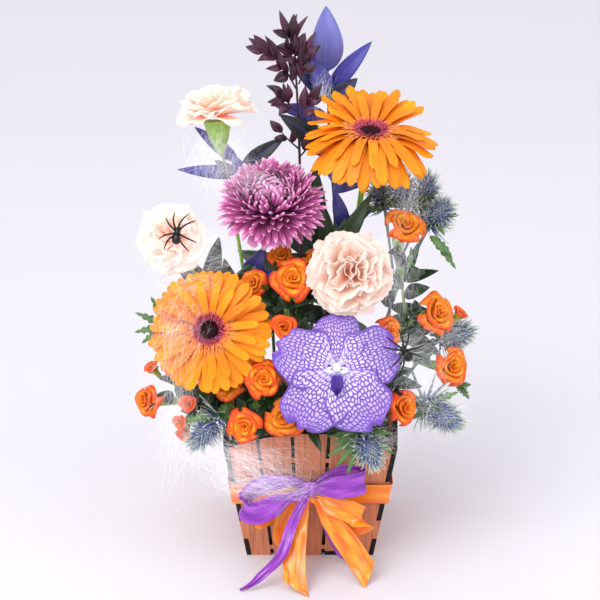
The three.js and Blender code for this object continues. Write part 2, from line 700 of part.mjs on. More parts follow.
// ---- leaves and stems --------------------------------------------------------------
// A leaf from its foot to its tip; `over` is the way its upper face looks.
// `grow` makes the same leaf larger all round, as the room it needs.
function leaf(foot, tip, width, grow = 0) {
  const over = [0, -0.7, 0.7];
  const arch = 0.08;
  const along = vec(tip).sub(vec(foot));
  const length = along.length();
  const wide = width + 3 * grow;
  const ends = [[-0.4, 0, LEAF_FOOT + 2 * grow], [length + 3 * grow, 0, 0]];
  const middle = width < SMALL_LEAF
    ? [[length * 0.5, length * arch, wide]]
    : [[length * 0.3, length * arch, wide * 0.9], [length * 0.65, length * arch, wide * 0.85]];
  const stations = [ends[0], ...middle, ends[1]];
  const x = along.normalize();
  const y = vec(over).cross(x).normalize();
  const z = new THREE.Vector3().crossVectors(x, y);
  const matrix = new THREE.Matrix4().makeBasis(x, y, z).setPosition(vec(foot));
  return moved(toSolid(blade(stations, LEAF_THICK + 2 * grow, 0.06)), matrix);
}

// The route of a stem: from its foot down in the foam, up through points, to its end.
function stemRoute(foot, points) {
  const [x, y] = foot;
  return [[x, y, FOAM_TOP - FOAM_DEPTH], [x, y, FOAM_TOP - 3], [x, y, FOAM_TOP + 4], ...points].map(vec);
}

// The standing part of a stem; the foam gets a hole for it.
function stem(foot, points, radius, grow, steps) {
  if (grow === 0) feet.push([...foot, radius]);
  return tube(stemRoute(foot, points), radius + grow, steps);
}

// A branch from its trunk to the back of a head, flaring there into the green cup.
function branch(from, one, radius, cupRadius, back, grow) {
  const stations = [
    [vec(from), radius], [vec(behind(one, back + cupRadius * 1.8)), radius * 1.1],
    [vec(behind(one, back - grow)), cupRadius],
  ];
  return limb(stations.map(([place, size]) => [place, size + grow]), 5);
}

// A tapering round limb along a list of [place, radius] pairs.
function limb(stations, sides) {
  const count = stations.length;
  const positions = [];
  let side = new THREE.Vector3(1, 0.2, 0.1);
  stations.forEach(([place, radius], i) => {
    const before = stations[Math.max(i - 1, 0)][0];
    const after = stations[Math.min(i + 1, count - 1)][0];
    const along = after.clone().sub(before).normalize();
    side = side.clone().addScaledVector(along, -side.dot(along)).normalize();
    const up = new THREE.Vector3().crossVectors(along, side);
    for (let k = 0; k < sides; k += 1) {
      const turn = (k / sides) * Math.PI * 2;
      const point = place.clone().addScaledVector(side, radius * Math.cos(turn));
      positions.push(...point.addScaledVector(up, radius * Math.sin(turn)).toArray());
    }
  });
  const faces = [];
  const at = (row, k) => row * sides + (k % sides);
  for (let row = 0; row < count - 1; row += 1) {
    for (let k = 0; k < sides; k += 1) {
      faces.push(at(row, k), at(row, k + 1), at(row + 1, k + 1));
      faces.push(at(row, k), at(row + 1, k + 1), at(row + 1, k));
    }
  }
  for (let k = 1; k < sides - 1; k += 1) {
    faces.push(at(0, 0), at(0, k + 1), at(0, k));
    faces.push(at(count - 1, 0), at(count - 1, k), at(count - 1, k + 1));
  }
  const geometry = new THREE.BufferGeometry();
  geometry.setAttribute('position', new THREE.Float32BufferAttribute(positions, 3));
  geometry.setIndex(faces);
  return toSolid(geometry);
}

// The point behind a bloom where its stem arrives.
function behind({ place, toward }, distance) {
  return vec(place).addScaledVector(vec(toward).normalize(), -distance).toArray();
}

// ---- the flowers and where they stand ----------------------------------------------
const GERBERAS = [
  { name: 'gerbera_top', place: [49, -20, 373], toward: [0.04, -0.42, 0.905], radius: 56, droop: 10.5,
    foot: [30, 6], route: [[36, 4, 250], [46, -8, 345]] },
  { name: 'gerbera_left', place: [-81, -76, 223], toward: [-0.2, -0.84, 0.5], radius: 51, droop: 5,
    foot: [-44, -24], route: [[-52, -30, 150], [-70, -48, 202]] },
];

const CHRYSANTHEMUM = { name: 'chrysanthemum', place: [-32, -42, 322], toward: [0, -0.64, 0.77], radius: 46,
  foot: [-18, 2], route: [[-20, 2, 200], [-28, -8, 282]] };

const CARNATIONS = [
  { name: 'carnation_top_left', place: [-79, 12, 384], toward: [-0.12, -0.12, 0.98], radius: 33,
    foot: [-44, 12], route: [[-58, 14, 240], [-74, 14, 345]] },
  { name: 'carnation_left', place: [-116, -26, 287], toward: [-0.3, -0.85, 0.42], radius: 29,
    foot: [-56, 2], route: [[-80, 4, 200], [-107, -4, 265]] },
  { name: 'carnation_middle', place: [32, -68, 271], toward: [0.1, -0.92, 0.38], radius: 34,
    foot: [12, -14], route: [[14, -18, 190], [26, -40, 256]] },
];

const ORCHID = { name: 'orchid', place: [21, -97, 198], toward: [0, -0.95, 0.31], radius: 54,
  foot: [14, -44], route: [[16, -62, 160], [20, -82, 190]] };

// Spray roses in the order in which they hang on their sprays.
const ROSES = [
  { name: 'rose_01', place: [77, -38, 299], toward: [0.2, -0.6, 0.77], radius: 18 },
  { name: 'rose_02', place: [-25, -34, 272], toward: [-0.1, -0.6, 0.8], radius: 12.5 },
  { name: 'rose_03', place: [-15, -66, 265], toward: [0, -0.85, 0.5], radius: 17 },
  { name: 'rose_04', place: [2, -42, 271], toward: [0.2, -0.7, 0.7], radius: 11 },
  { name: 'rose_05', place: [-46, -48, 254], toward: [-0.4, -0.8, 0.45], radius: 14 },
  { name: 'rose_06', place: [-39, -86, 184], toward: [0.1, -0.9, 0.4], radius: 15 },
  { name: 'rose_07', place: [-70, -74, 177], toward: [-0.2, -0.75, 0.6], radius: 16 },
  { name: 'rose_08', place: [-137, -50, 148], toward: [-0.9, -0.3, 0.3], radius: 16 },
  { name: 'rose_09', place: [-54, -96, 146], toward: [-0.2, -0.95, 0.25], radius: 14 },
  { name: 'rose_10', place: [-19, -98, 154], toward: [0.1, -0.9, 0.4], radius: 18 },
  { name: 'rose_11', place: [64, -66, 219], toward: [0.5, -0.8, 0.35], radius: 13 },
  { name: 'rose_12', place: [103, -45, 226], toward: [0.9, -0.3, 0.3], radius: 18 },
  { name: 'rose_13', place: [118, -50, 180], toward: [0.6, -0.75, 0.25], radius: 17 },
  { name: 'rose_14', place: [75, -82, 157], toward: [0.75, -0.6, 0.25], radius: 17 },
];
const rose = (name) => ROSES.find((one) => one.name === name);

// Each spray: where it stands, its trunk, the roses it carries and its closed buds.
const ROSE_SPRAYS = [
  { name: 'rose_spray_middle', foot: [-6, -26], trunk: [[-8, -34, 190], [-14, -38, 236]],
    carries: ['rose_02', 'rose_03', 'rose_04', 'rose_05'],
    buds: [{ place: [-21, -74, 226], toward: [-0.1, -0.95, 0.3], radius: 9 }] },
  { name: 'rose_spray_front', foot: [-30, -46], trunk: [[-34, -52, 132], [-38, -56, 146]],
    carries: ['rose_06', 'rose_07', 'rose_09', 'rose_10'], buds: [] },
  { name: 'rose_spray_right', foot: [56, -12], trunk: [[72, -18, 180], [82, -22, 215]],
    carries: ['rose_01', 'rose_12', 'rose_13'],
    buds: [{ place: [125, -28, 216], toward: [0.6, -0.2, 0.8], radius: 6 }] },
  { name: 'rose_spray_low_right', foot: [42, -44], trunk: [[48, -50, 140], [52, -52, 160]],
    carries: ['rose_11', 'rose_14'], buds: [] },
  { name: 'rose_spray_left', foot: [-60, -14], trunk: [[-76, -30, 138], [-92, -44, 146]],
    carries: ['rose_08'],
    buds: [
      { place: [-102, -68, 152], toward: [-0.2, -0.8, 0.5], radius: 6.5 },
      { place: [-107, -72, 139], toward: [-0.5, -0.8, 0.1], radius: 6 },
      { place: [-106, -66, 127], toward: [-0.2, -0.9, -0.3], radius: 6 },
      { place: [-117, -53, 174], toward: [-0.1, -0.5, 0.9], radius: 7 },
      { place: [-133, -42, 172], toward: [-0.5, -0.3, 0.8], radius: 6 },
    ] },
];

const SEA_HOLLIES = [
  { name: 'sea_holly_top', foot: [60, 20], trunk: [[72, 14, 220], [80, 8, 270]], heads: [
    { place: [78, 2, 320], toward: [-0.25, -0.1, 0.95], radius: 7.5, height: 34 },
    { place: [98, 8, 315], toward: [0.1, -0.1, 1], radius: 7.5, height: 26 },
    { place: [108, -7, 301], toward: [0.5, -0.3, 0.8], radius: 8, height: 24 },
    { place: [61, 16, 309], toward: [-0.3, 0, 0.95], radius: 6, height: 20 },
  ] },
  { name: 'sea_holly_right', foot: [62, 2], trunk: [[86, -2, 150], [100, -8, 174]], heads: [
    { place: [128, -20, 196], toward: [0.8, -0.2, 0.4], radius: 9, height: 26 },
    { place: [112, -62, 140], toward: [0.7, -0.5, -0.3], radius: 9, height: 30 },
  ] },
  { name: 'sea_holly_rim', foot: [30, -52], trunk: [[36, -70, 136], [40, -84, 139]], heads: [
    { place: [48, -98, 128], toward: [0.3, -0.6, -0.6], radius: 9, height: 28 },
  ] },
  { name: 'sea_holly_left', foot: [-58, -40], trunk: [[-70, -58, 138], [-76, -66, 143]], heads: [
    { place: [-87, -84, 137], toward: [-0.6, -0.4, -0.6], radius: 8.5, height: 30 },
  ] },
];

// Leafy stems: a route, then leaves as [share of the route, tip, width].
const FOLIAGE = [
  { name: 'ruscus_top', look: 'ruscus', foot: [22, 32], radius: 1.5,
    route: [[22, 44, 280], [17, 46, 350], [15, 45, 400], [14, 43, 425]], leaves: [
      [1, [12, 42, 467], 24], [0.95, [52, 44, 438], 15], [0.93, [-5, 38, 428], 13],
      [0.9, [-29, 34, 431], 8], [0.87, [46, 42, 399], 15], [0.84, [-31, 34, 379], 16],
      [0.75, [-22, 26, 352], 15], [0.66, [44, 22, 318], 15], [0.71, [20, 14, 322], 14],
    ] },
  { name: 'ruscus_left', look: 'ruscus', foot: [-30, 30], radius: 1.4,
    route: [[-38, 28, 240], [-52, 24, 310], [-62, 20, 340]], leaves: [
      [1, [-98, 15, 372], 12], [0.95, [-113, 10, 336], 12], [0.9, [-81, 8, 345], 16],
      [0.97, [-22, 18, 362], 14], [0.78, [-46, -14, 276], 18],
    ] },
  { name: 'burgundy_spray', look: 'burgundy', foot: [-8, 26], radius: 1.5,
    route: [[-8, 22, 280], [-10, 18, 400], [-11, 17, 458]], leaves: [
      [1, [-11, 17, 470], 6], ...burgundyLeaves(),
    ] },
  { name: 'greens_front', look: 'green', foot: [-4, -50], radius: 1.4,
    route: [[-4, -58, 128], [-2, -66, 136]], leaves: [
      [1, [9, -92, 120], 9], [0.95, [-40, -92, 116], 10], [0.8, [30, -78, 150], 12],
      [0.75, [-24, -72, 176], 14],
    ] },
  { name: 'greens_right', look: 'green', foot: [46, 34], radius: 1.4,
    route: [[64, 26, 180], [80, 16, 235]], leaves: [
      [1, [111, -12, 253], 18], [0.95, [98, 20, 270], 16], [0.8, [112, 4, 206], 18],
      [0.7, [118, 20, 160], 18], [0.8, [54, -10, 250], 16],
    ] },
  { name: 'greens_left', look: 'green', foot: [-58, 28], radius: 1.4,
    route: [[-78, 26, 170], [-92, 22, 225]], leaves: [
      [1, [-120, 18, 258], 18], [0.95, [-80, 34, 268], 16], [0.8, [-136, 10, 210], 18],
      [0.65, [-128, 20, 164], 18], [0.75, [-60, 8, 230], 16],
    ] },
  { name: 'greens_back', look: 'green', foot: [0, 54], radius: 1.6,
    route: [[2, 64, 170], [2, 66, 250]], leaves: [
      [1, [4, 58, 328], 24], [0.93, [-46, 62, 300], 22], [0.86, [50, 62, 286], 22],
      [0.76, [-66, 76, 240], 24], [0.66, [68, 78, 216], 24], [0.55, [-58, 94, 180], 24],
      [0.45, [54, 92, 158], 24], [0.36, [-10, 108, 150], 24],
    ] },
];

// Pairs of narrow leaflets up the burgundy stem, shorter towards its tip.
function burgundyLeaves() {
  const random = seeded(11);
  const rows = 6;
  return Array.from({ length: rows }, (_, i) => i).flatMap((i) => {
    const share = 0.72 + (0.27 * i) / rows;
    const height = 355 + (110 * i) / rows;
    const reach = 34 - 2.4 * i;
    return [-1, 1].map((side) => {
      const out = side < 0 ? reach + 4 * random() : reach * 0.45;
      return [share, [-10 + side * out, 10 + 8 * random(), height + 14], 7];
    });
  });
}

const SPIDERS = [
  { name: 'spider_left', on: 'carnation_left', place: [-109, -50, 298],
    toward: [-0.3, -0.85, 0.42], spin: -0.33 },
  { name: 'spider_right', on: 'orchid', place: [76, -98, 214],
    toward: [0.1, -0.95, 0.31], spin: 0.65 },
];

// The cobweb: its knots, and its threads as [from, to, sag].
const WEB_KNOTS = {
  corner: [-64, -75.2, 104],
  low: [-96, -98, 118],
  rim: [-132, -88, 172],
  edge: [-134, -84, 236],
  high: [-126, -62, 272],
  face: [-79, -123, 207],
  loop: [-40, -92, 62],
};
const WEB_THREADS = [
  ['corner', 'low', 3], ['low', 'rim', 4], ['rim', 'edge', 3], ['edge', 'high', 2], ['low', 'face', -2],
  ['face', 'edge', 2], ['rim', 'face', 3], ['corner', 'loop', 3],
];

// ---- assembling --------------------------------------------------------------------
function buildBlooms() {
  for (const one of GERBERAS) {
    const matrix = facing(one.place, one.toward);
    addPiece(`${one.name}_rays`, 'gerberaRay', gerberaRays(one.radius, one.droop), matrix, { room: null });
    addPiece(`${one.name}_eye`, 'gerberaEye', gerberaEye(one.radius), matrix, { room: null });
    keepRoom(one.name, moved(hullRoom(gerberaRays(one.radius, one.droop)), matrix));
  }
  const mum = CHRYSANTHEMUM;
  addPiece(mum.name, 'chrysanthemum', chrysanthemumHead(mum.radius), facing(mum.place, mum.toward));
  addPiece(ORCHID.name, 'orchid', orchidBloom(ORCHID.radius), facing(ORCHID.place, ORCHID.toward, 0));
  for (const one of CARNATIONS) {
    addPiece(one.name, 'carnation', carnationHead(one.radius), facing(one.place, one.toward));
  }
  for (const one of ROSES) {
    addPiece(one.name, 'rose', roseHead(one.radius), facing(one.place, one.toward, one.radius));
  }
}

// The stem of a single bloom, with the green cup behind the bloom where it has one.
function singleStem(one, radius, cup, grow) {
  const route = cup ? one.route : [...one.route, behind(one, 4)];
  const solids = [stem(one.foot, route, radius, grow, 7)];
  if (cup) solids.push(branch(one.route[one.route.length - 1], one, radius, cup.radius, cup.back, grow));
  return join(solids);
}

// The points of a spray's trunk where its branches leave, one above the other.
function forks(spray, count) {
  const curve = new THREE.CatmullRomCurve3(stemRoute(spray.foot, spray.trunk), false, 'centripetal');
  const share = (i) => FIRST_FORK + ((1 - FIRST_FORK) * (i + 0.9)) / count;
  return Array.from({ length: count }, (_, i) => curve.getPointAt(share(i)).toArray());
}

function roseSpray(spray, grow) {
  const heads = [...spray.carries.map(rose), ...spray.buds].sort((a, b) => a.place[2] - b.place[2]);
  const from = forks(spray, heads.length);
  const solids = [stem(spray.foot, spray.trunk, 1.8, grow, 5)];
  heads.forEach((one, i) => {
    const back = spray.buds.includes(one) ? one.radius : one.radius * ROSE_SEAT + GAP;
    solids.push(branch(from[i], one, 1.3, one.radius * 0.3, back, grow));
  });
  for (const one of spray.buds) solids.push(bud(one.place, one.toward, one.radius + grow));
  return join(solids);
}

function seaHolly(spray, grow) {
  const heads = [...spray.heads].sort((a, b) => a.place[2] - b.place[2]);
  const from = forks(spray, heads.length);
  const solids = [stem(spray.foot, spray.trunk, 1.7, grow, 5)];
  heads.forEach((one, i) => {
    const head = seaHollyHead(one.place, one.toward, one.radius, one.height);
    solids.push(branch(from[i], one, 1.2, 1.6, one.height * 0.4, grow));
    solids.push(grow > 0 ? hullRoom(head) : head);
  });
  return join(solids);
}

function leafyStem(one, grow) {
  const route = stemRoute(one.foot, one.route);
  const curve = new THREE.CatmullRomCurve3(route, false, 'centripetal');
  const leaves = one.leaves.map(([share, tip, width]) => (
    leaf(curve.getPointAt(share).toArray(), tip, width, grow)
  ));
  return join([stem(one.foot, one.route, one.radius, grow, 6), ...leaves]);
}

// Adds a piece drawn where it stands, by a function that can also draw its room.
function addDrawn(name, look, draw, skip = []) {
  addPiece(name, look, draw(0), new THREE.Matrix4(), { room: () => draw(GAP), skip });
}

function buildStems() {
  for (const one of GERBERAS) {
    const cup = { radius: 5, back: GERBERA_SEAT + GAP };
    addDrawn(`${one.name}_stem`, 'stem', (grow) => singleStem(one, 2.4, cup, grow), [one.name]);
  }
  const mum = CHRYSANTHEMUM;
  const mumCup = { radius: 5, back: CHRYSANTHEMUM_SEAT + GAP };
  addDrawn('chrysanthemum_stem', 'stem', (grow) => singleStem(mum, 2.2, mumCup, grow), [mum.name]);
  for (const one of CARNATIONS) {
    const cup = { radius: one.radius * CARNATION_CALYX, back: one.radius * CARNATION_SEAT + GAP };
    addDrawn(`${one.name}_stem`, 'stem', (grow) => singleStem(one, 1.6, cup, grow), [one.name]);
  }
  addDrawn('orchid_stem', 'stem', (grow) => singleStem(ORCHID, 1.8, null, grow));
  for (const spray of ROSE_SPRAYS) {
    addDrawn(spray.name, 'stem', (grow) => roseSpray(spray, grow), spray.carries);
  }
  for (const spray of SEA_HOLLIES) addDrawn(spray.name, 'seaHolly', (grow) => seaHolly(spray, grow));
}

function buildFoliage() {
  for (const one of FOLIAGE) addDrawn(one.name, one.look, (grow) => leafyStem(one, grow));
}

// A toy spider with its head towards +Y: two body balls and eight bent legs.
function spider() {
  const legs = [-1, 1].flatMap((side) => [70, 42, -20, -52].map((degrees) => {
    const turn = (degrees * Math.PI) / 180;
    const at = (r, z) => vec([side * r * Math.cos(turn), 1 + r * Math.sin(turn), z]);
    return limb([[at(0.5, 2.5), 1], [at(9, 6), 0.85], [at(18, SPIDER_TREAD), 0.75]], 3);
  }));
  const chest = turned([[0, 0.2], [2.6, 1.6], [2.2, 4], [0, 4.8]], 5);
  const belly = turned([[0, 0], [3.4, 1.6], [3.6, 4], [0, 6.4]], 5);
  return join([chest.translate([0, 2, 0]), belly.translate([0, -3.6, 0]), ...legs]);
}

// The spiders stand on a bloom: their feet are cut clear of its real surface.
function buildSpiders() {
  for (const one of SPIDERS) {
    const matrix = facing(one.place, one.toward, one.spin);
    const seat = moved(closeRoom(placed.get(one.on)), matrix.clone().invert());
    addPiece(one.name, 'spider', spider().subtract(seat), matrix, { skip: [one.on], room: closeRoom });
  }
}

// Cobweb threads that run between named knots.
function buildWeb() {
  const knots = Object.values(WEB_KNOTS).map((place) => {
    const knot = new THREE.OctahedronGeometry(WEB_THREAD * 3);
    knot.translate(...place);
    return toSolid(knot);
  });
  const threads = WEB_THREADS.map(([from, to, sag]) => {
    const a = vec(WEB_KNOTS[from]);
    const b = vec(WEB_KNOTS[to]);
    const middle = a.clone().add(b).multiplyScalar(0.5).add(vec([0, 0, -sag]));
    return limb([[a, WEB_THREAD], [middle, WEB_THREAD], [b, WEB_THREAD]], 3);
  });
  addPiece('cobweb', 'web', join([...knots, ...threads]), new THREE.Matrix4(), { room: null });
}

buildBasket();
buildLiner();
buildRibbons();
keepPanelRooms();
buildBlooms();
buildStems();
buildSpiders();
buildFoliage();
buildWeb();
buildFoam();

export default arrangement;
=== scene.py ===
import math
import random

import bpy
import numpy as np
from bpy.props import FloatProperty, FloatVectorProperty, IntProperty, PointerProperty
from mathutils import Matrix, Vector


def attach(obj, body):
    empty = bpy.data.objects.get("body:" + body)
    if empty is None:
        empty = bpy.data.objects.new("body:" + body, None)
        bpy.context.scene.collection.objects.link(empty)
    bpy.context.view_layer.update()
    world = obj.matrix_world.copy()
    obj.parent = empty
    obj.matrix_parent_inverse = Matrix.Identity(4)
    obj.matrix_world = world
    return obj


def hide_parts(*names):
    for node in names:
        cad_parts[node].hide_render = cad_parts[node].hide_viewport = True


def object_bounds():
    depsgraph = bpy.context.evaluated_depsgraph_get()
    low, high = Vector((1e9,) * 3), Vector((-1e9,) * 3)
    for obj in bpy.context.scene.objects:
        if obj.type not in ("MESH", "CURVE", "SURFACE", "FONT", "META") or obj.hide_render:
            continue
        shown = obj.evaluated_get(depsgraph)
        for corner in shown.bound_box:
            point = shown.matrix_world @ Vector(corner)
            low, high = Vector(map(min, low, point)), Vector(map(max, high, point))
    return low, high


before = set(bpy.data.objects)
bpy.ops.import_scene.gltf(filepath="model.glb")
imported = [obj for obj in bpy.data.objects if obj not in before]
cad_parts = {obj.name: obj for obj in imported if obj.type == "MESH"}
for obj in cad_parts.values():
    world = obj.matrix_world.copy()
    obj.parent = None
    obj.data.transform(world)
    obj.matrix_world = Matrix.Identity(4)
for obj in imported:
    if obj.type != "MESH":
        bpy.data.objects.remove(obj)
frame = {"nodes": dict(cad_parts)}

bl_info = {
    "name": "Flower basket arrangement",
    "version": (1, 0, 0),
    "blender": (4, 5, 0),
    "location": "3D View > Sidebar > Flower basket",
    "description": "Dresses a slatted basket of cut flowers: petals, leaves, satin bows, cobweb",
    "category": "Object",
}

CAD_BOX = [list(corner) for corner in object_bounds()]
MM = 0.001
GOLDEN_TURN = math.pi * (3 - math.sqrt(5))  # angle between one petal of a spiral and the next


# ---- colours and settings ----------------------------------------------------------
def linear(code):
    """The linear colour of an sRGB hex value such as "#ff8c1a"."""
    parts = [int(code[i:i + 2], 16) / 255 for i in (1, 3, 5)]
    return tuple(p / 12.92 if p <= 0.04045 else ((p + 0.055) / 1.055) ** 2.4 for p in parts)


def colour(name, description, code):
    return FloatVectorProperty(name=name, description=description, subtype="COLOR", size=3,
                               min=0, max=1, default=linear(code))


def length(name, description, millimetres):
    return FloatProperty(name=name, description=description, subtype="DISTANCE", unit="LENGTH",
                         min=0, default=millimetres * MM)


class BasketSettings(bpy.types.PropertyGroup):
    wood: colour("Wood", "Face of the plywood", "#d98b66")
    wood_dark: colour("Wood grain", "Darker grain of the plywood", "#b26b4f")
    char: colour("Burnt edge", "Edges that the laser has cut", "#1d120d")
    grain: length("Grain width", "Distance from one grain line to the next", 1.6)
    foam: colour("Foam", "Wet floral foam", "#2f5230")


class RibbonSettings(bpy.types.PropertyGroup):
    purple: colour("Purple satin", "Purple ribbon", "#9230b4")
    orange: colour("Orange satin", "Orange ribbon", "#fd8a06")
    width: length("Ribbon width", "Width that the ribbon is woven to", 20)
    thickness: length("Ribbon thickness", "Thickness of the satin", 0.35)


class BloomSettings(bpy.types.PropertyGroup):
    petal_thickness: length("Petal thickness", "Thickness of a petal", 0.35)
    gerbera_rays: IntProperty(name="Gerbera rays", description="Rays in each of the two full rings",
                              default=23, min=8, max=40)
    gerbera: colour("Gerbera", "Rays of the gerberas", "#ff8a04")
    gerbera_foot: colour("Gerbera foot", "Foot of the rays", "#f0560c")
    chrysanthemum: colour("Chrysanthemum", "Body of the quills", "#d873b4")
    chrysanthemum_tip: colour("Chrysanthemum tip", "Tips of the quills", "#f2c0de")
    carnation: colour("Carnation", "Limb of the carnation's petals", "#f7dacb")
    carnation_heart: colour("Carnation heart", "Foot of the carnation's petals", "#efae94")
    orchid: colour("Orchid", "Violet of the orchid", "#6a41a6")
    orchid_net: colour("Orchid net", "Pale cells of the orchid's net", "#dacdf4")
    rose: colour("Rose", "Inner face of the rose's petals", "#ff961a")
    rose_back: colour("Rose back", "Outer face of the rose's petals", "#fc7816")
    rose_rim: colour("Rose rim", "Rim of the rose's petals", "#ee4a1c")
    rose_foot: colour("Rose foot", "Yellow foot of the rose's petals", "#ffc02e")


class FoliageSettings(bpy.types.PropertyGroup):
    stem: colour("Stem", "Stems and cups", "#98c543")
    green: colour("Green leaf", "Dark green leaves", "#2c4a26")
    ruscus: colour("Ruscus", "Dyed ruscus leaves", "#4640a4")
    burgundy: colour("Burgundy leaf", "Burgundy leaflets", "#4a1d36")
    sea_holly: colour("Sea holly", "Foot of the sea holly's bracts", "#6675a8")
    sea_holly_tip: colour("Sea holly tip", "Tips of the sea holly's bracts", "#b2c0a8")
    leaf_thickness: length("Leaf thickness", "Thickness of a leaf", 0.5)


class TrimSettings(bpy.types.PropertyGroup):
    spider: colour("Spider", "Moulded plastic of the spiders", "#0b0b0d")
    web: colour("Cobweb", "Teased fibre", "#eeeef4")
    fibre: length("Fibre radius", "Radius of one fibre as drawn", 0.036)


class StageSettings(bpy.types.PropertyGroup):
    floor: colour("Floor", "Pale floor", "#dfdde2")
    light: FloatProperty(name="Light", description="Strength of the soft studio light",
                         default=1.0, min=0)


# ---- materials ---------------------------------------------------------------------
def scaled(shade, factor):
    return tuple(min(1.0, part * factor) for part in shade)


class Wiring:
    """A material under construction. `add` adds a node with its settings, its fixed inputs and
    its links; the methods after it add one kind of node each and return what comes out of it."""

    def __init__(self, name, **shader_inputs):
        self.material = bpy.data.materials.new(name)
        self.material.use_nodes = True
        self.tree = self.material.node_tree
        self.shader = self.tree.nodes["Principled BSDF"]
        for key, value in shader_inputs.items():
            self.shader.inputs[key.replace("_", " ")].default_value = value

    def add(self, kind, settings=None, inputs=None):
        node = self.tree.nodes.new(kind)
        for key, value in (settings or {}).items():
            setattr(node, key, value)
        for key, value in (inputs or {}).items():
            if isinstance(value, bpy.types.NodeSocket):
                self.tree.links.new(value, node.inputs[key])
            else:
                node.inputs[key].default_value = value
        return node

    def place(self, kind):
        return self.add("ShaderNodeTexCoord").outputs[kind]

    def tint(self):
        """The number from 0 to 1 that each petal or leaf carries."""
        return self.add("ShaderNodeAttribute", {"attribute_name": "tint"}).outputs["Fac"]

    def parts(self, vector):
        return self.add("ShaderNodeSeparateXYZ", inputs={0: vector}).outputs

    def mapped(self, vector, *scale):
        return self.add("ShaderNodeMapping", inputs={"Vector": vector, "Scale": scale}).outputs[0]

    def noise(self, vector, scale=1.0, detail=2.0, roughness=0.5):
        return self.add("ShaderNodeTexNoise", inputs={
            "Vector": vector, "Scale": scale, "Detail": detail, "Roughness": roughness}).outputs["Fac"]

    def ramp(self, factor, *stops):
        node = self.add("ShaderNodeValToRGB", inputs={"Fac": factor})
        while len(node.color_ramp.elements) < len(stops):
            node.color_ramp.elements.new(0.5)
        for element, (share, shade) in zip(list(node.color_ramp.elements), stops):
            element.position = share
            element.color = (*shade, 1)
        return node.outputs["Color"]

    def calc(self, operation, *values):
        return self.add("ShaderNodeMath", {"operation": operation}, dict(enumerate(values))).outputs[0]

    def mix(self, factor, low, high, kind="MIX"):
        """Mixes two colours: a Mix node takes them at its sockets 6 and 7 and gives one at 2."""
        return self.add("ShaderNodeMix", {"data_type": "RGBA", "blend_type": kind}, {
            "Factor": factor, 6: low, 7: high}).outputs[2]

    def span(self, value, low, high, kind="LINEAR"):
        """0 to 1 while a value runs from low to high."""
        return self.add("ShaderNodeMapRange", {"interpolation_type": kind}, {
            "Value": value, "From Min": low, "From Max": high}).outputs[0]

    def bump(self, height, strength, distance, under=None, invert=False):
        inputs = {"Strength": strength, "Distance": distance, "Height": height}
        if under is not None:
            inputs["Normal"] = under
        return self.add("ShaderNodeBump", {"invert": invert}, inputs).outputs[0]

    def finished(self, **sources):
        """The material, with these sources wired to its shader."""
        for key, source in sources.items():
            self.tree.links.new(source, self.shader.inputs[key.replace("_", " ")])
        return self.material


def plywood(settings, name, across, face_normal):
    """Sapele-faced plywood, laser cut and unvarnished: fine long grain, burnt brown-black edges."""
    ply = Wiring(name, Roughness=0.62, Specular_IOR_Level=0.25)
    place = ply.place("Object")
    fine = 1 / settings.grain
    stretch = {"X": (fine, 20, 20), "Y": (20, fine, 20)}[across]
    grain = ply.noise(ply.mapped(place, *stretch), detail=5.0, roughness=0.62)
    shades = ply.ramp(grain, (0.32, settings.wood_dark), (0.5, settings.wood),
                      (0.72, scaled(settings.wood, 1.12)))
    patchy = ply.mix(0.3, shades, ply.noise(place, 26.0), "MULTIPLY")
    normal = ply.add("ShaderNodeNewGeometry").outputs["True Normal"]
    facing_out = ply.add("ShaderNodeVectorMath", {"operation": "DOT_PRODUCT"}, {
        0: normal, 1: face_normal}).outputs["Value"]
    cut = ply.calc("LESS_THAN", ply.calc("ABSOLUTE", facing_out), 0.85)
    return ply.finished(Base_Color=ply.mix(cut, patchy, (*settings.char, 1)),
                        Normal=ply.bump(grain, 0.25, 0.0004))


def wet_foam(settings):
    """Phenolic floral foam soaked with water: open cells, matte, with painted shade darkening its pores."""
    foam = Wiring("wet_floral_foam", Roughness=0.9)
    pores = foam.add("ShaderNodeTexVoronoi", inputs={
        "Vector": foam.place("Object"), "Scale": 900.0}).outputs["Distance"]
    # Painted shade: the colour darkens towards the middle of each pore.
    return foam.finished(
        Base_Color=foam.ramp(pores, (0.0, scaled(settings.foam, 0.35)), (0.5, settings.foam)),
        Normal=foam.bump(pores, 0.6, 0.0006))


def plastic_film():
    """Blown polyethylene film, dark and slightly glossy, with soft wrinkles."""
    film = Wiring("polyethylene_film", Roughness=0.35, Base_Color=(*linear("#1d201d"), 1))
    return film.finished(Normal=film.bump(film.noise(film.place("Object"), 60.0), 0.5, 0.001))


def satin(name, shade):
    """Polyester satin ribbon: long floats along it give a sheen. Its colour is painted: deeper in the
    hollows of its creases, a painted shade of light reflected twice, and paler on their crests, a
    painted highlight."""
    ribbon_satin = Wiring(name, Roughness=0.28, Specular_IOR_Level=0.75, Anisotropic=0.5)
    uv = ribbon_satin.place("UV")
    weave = ribbon_satin.noise(ribbon_satin.mapped(uv, 60, 6, 1), detail=3.0)
    crease_relief_and_shade = ribbon_satin.noise(ribbon_satin.mapped(uv, 3.2, 3, 1), detail=1.0)
    # Painted shade and highlight: the crease noise deepens the colour in its hollows and pales it on its
    # crests.
    shades = ribbon_satin.ramp(crease_relief_and_shade, (0.36, [part ** 1.4 for part in shade]), (0.5, shade),
                               (0.66, [part ** 0.72 for part in shade]))
    creased = ribbon_satin.bump(crease_relief_and_shade, 0.6, 0.003)
    return ribbon_satin.finished(Base_Color=shades,
                                 Normal=ribbon_satin.bump(weave, 0.12, 0.0002, creased))


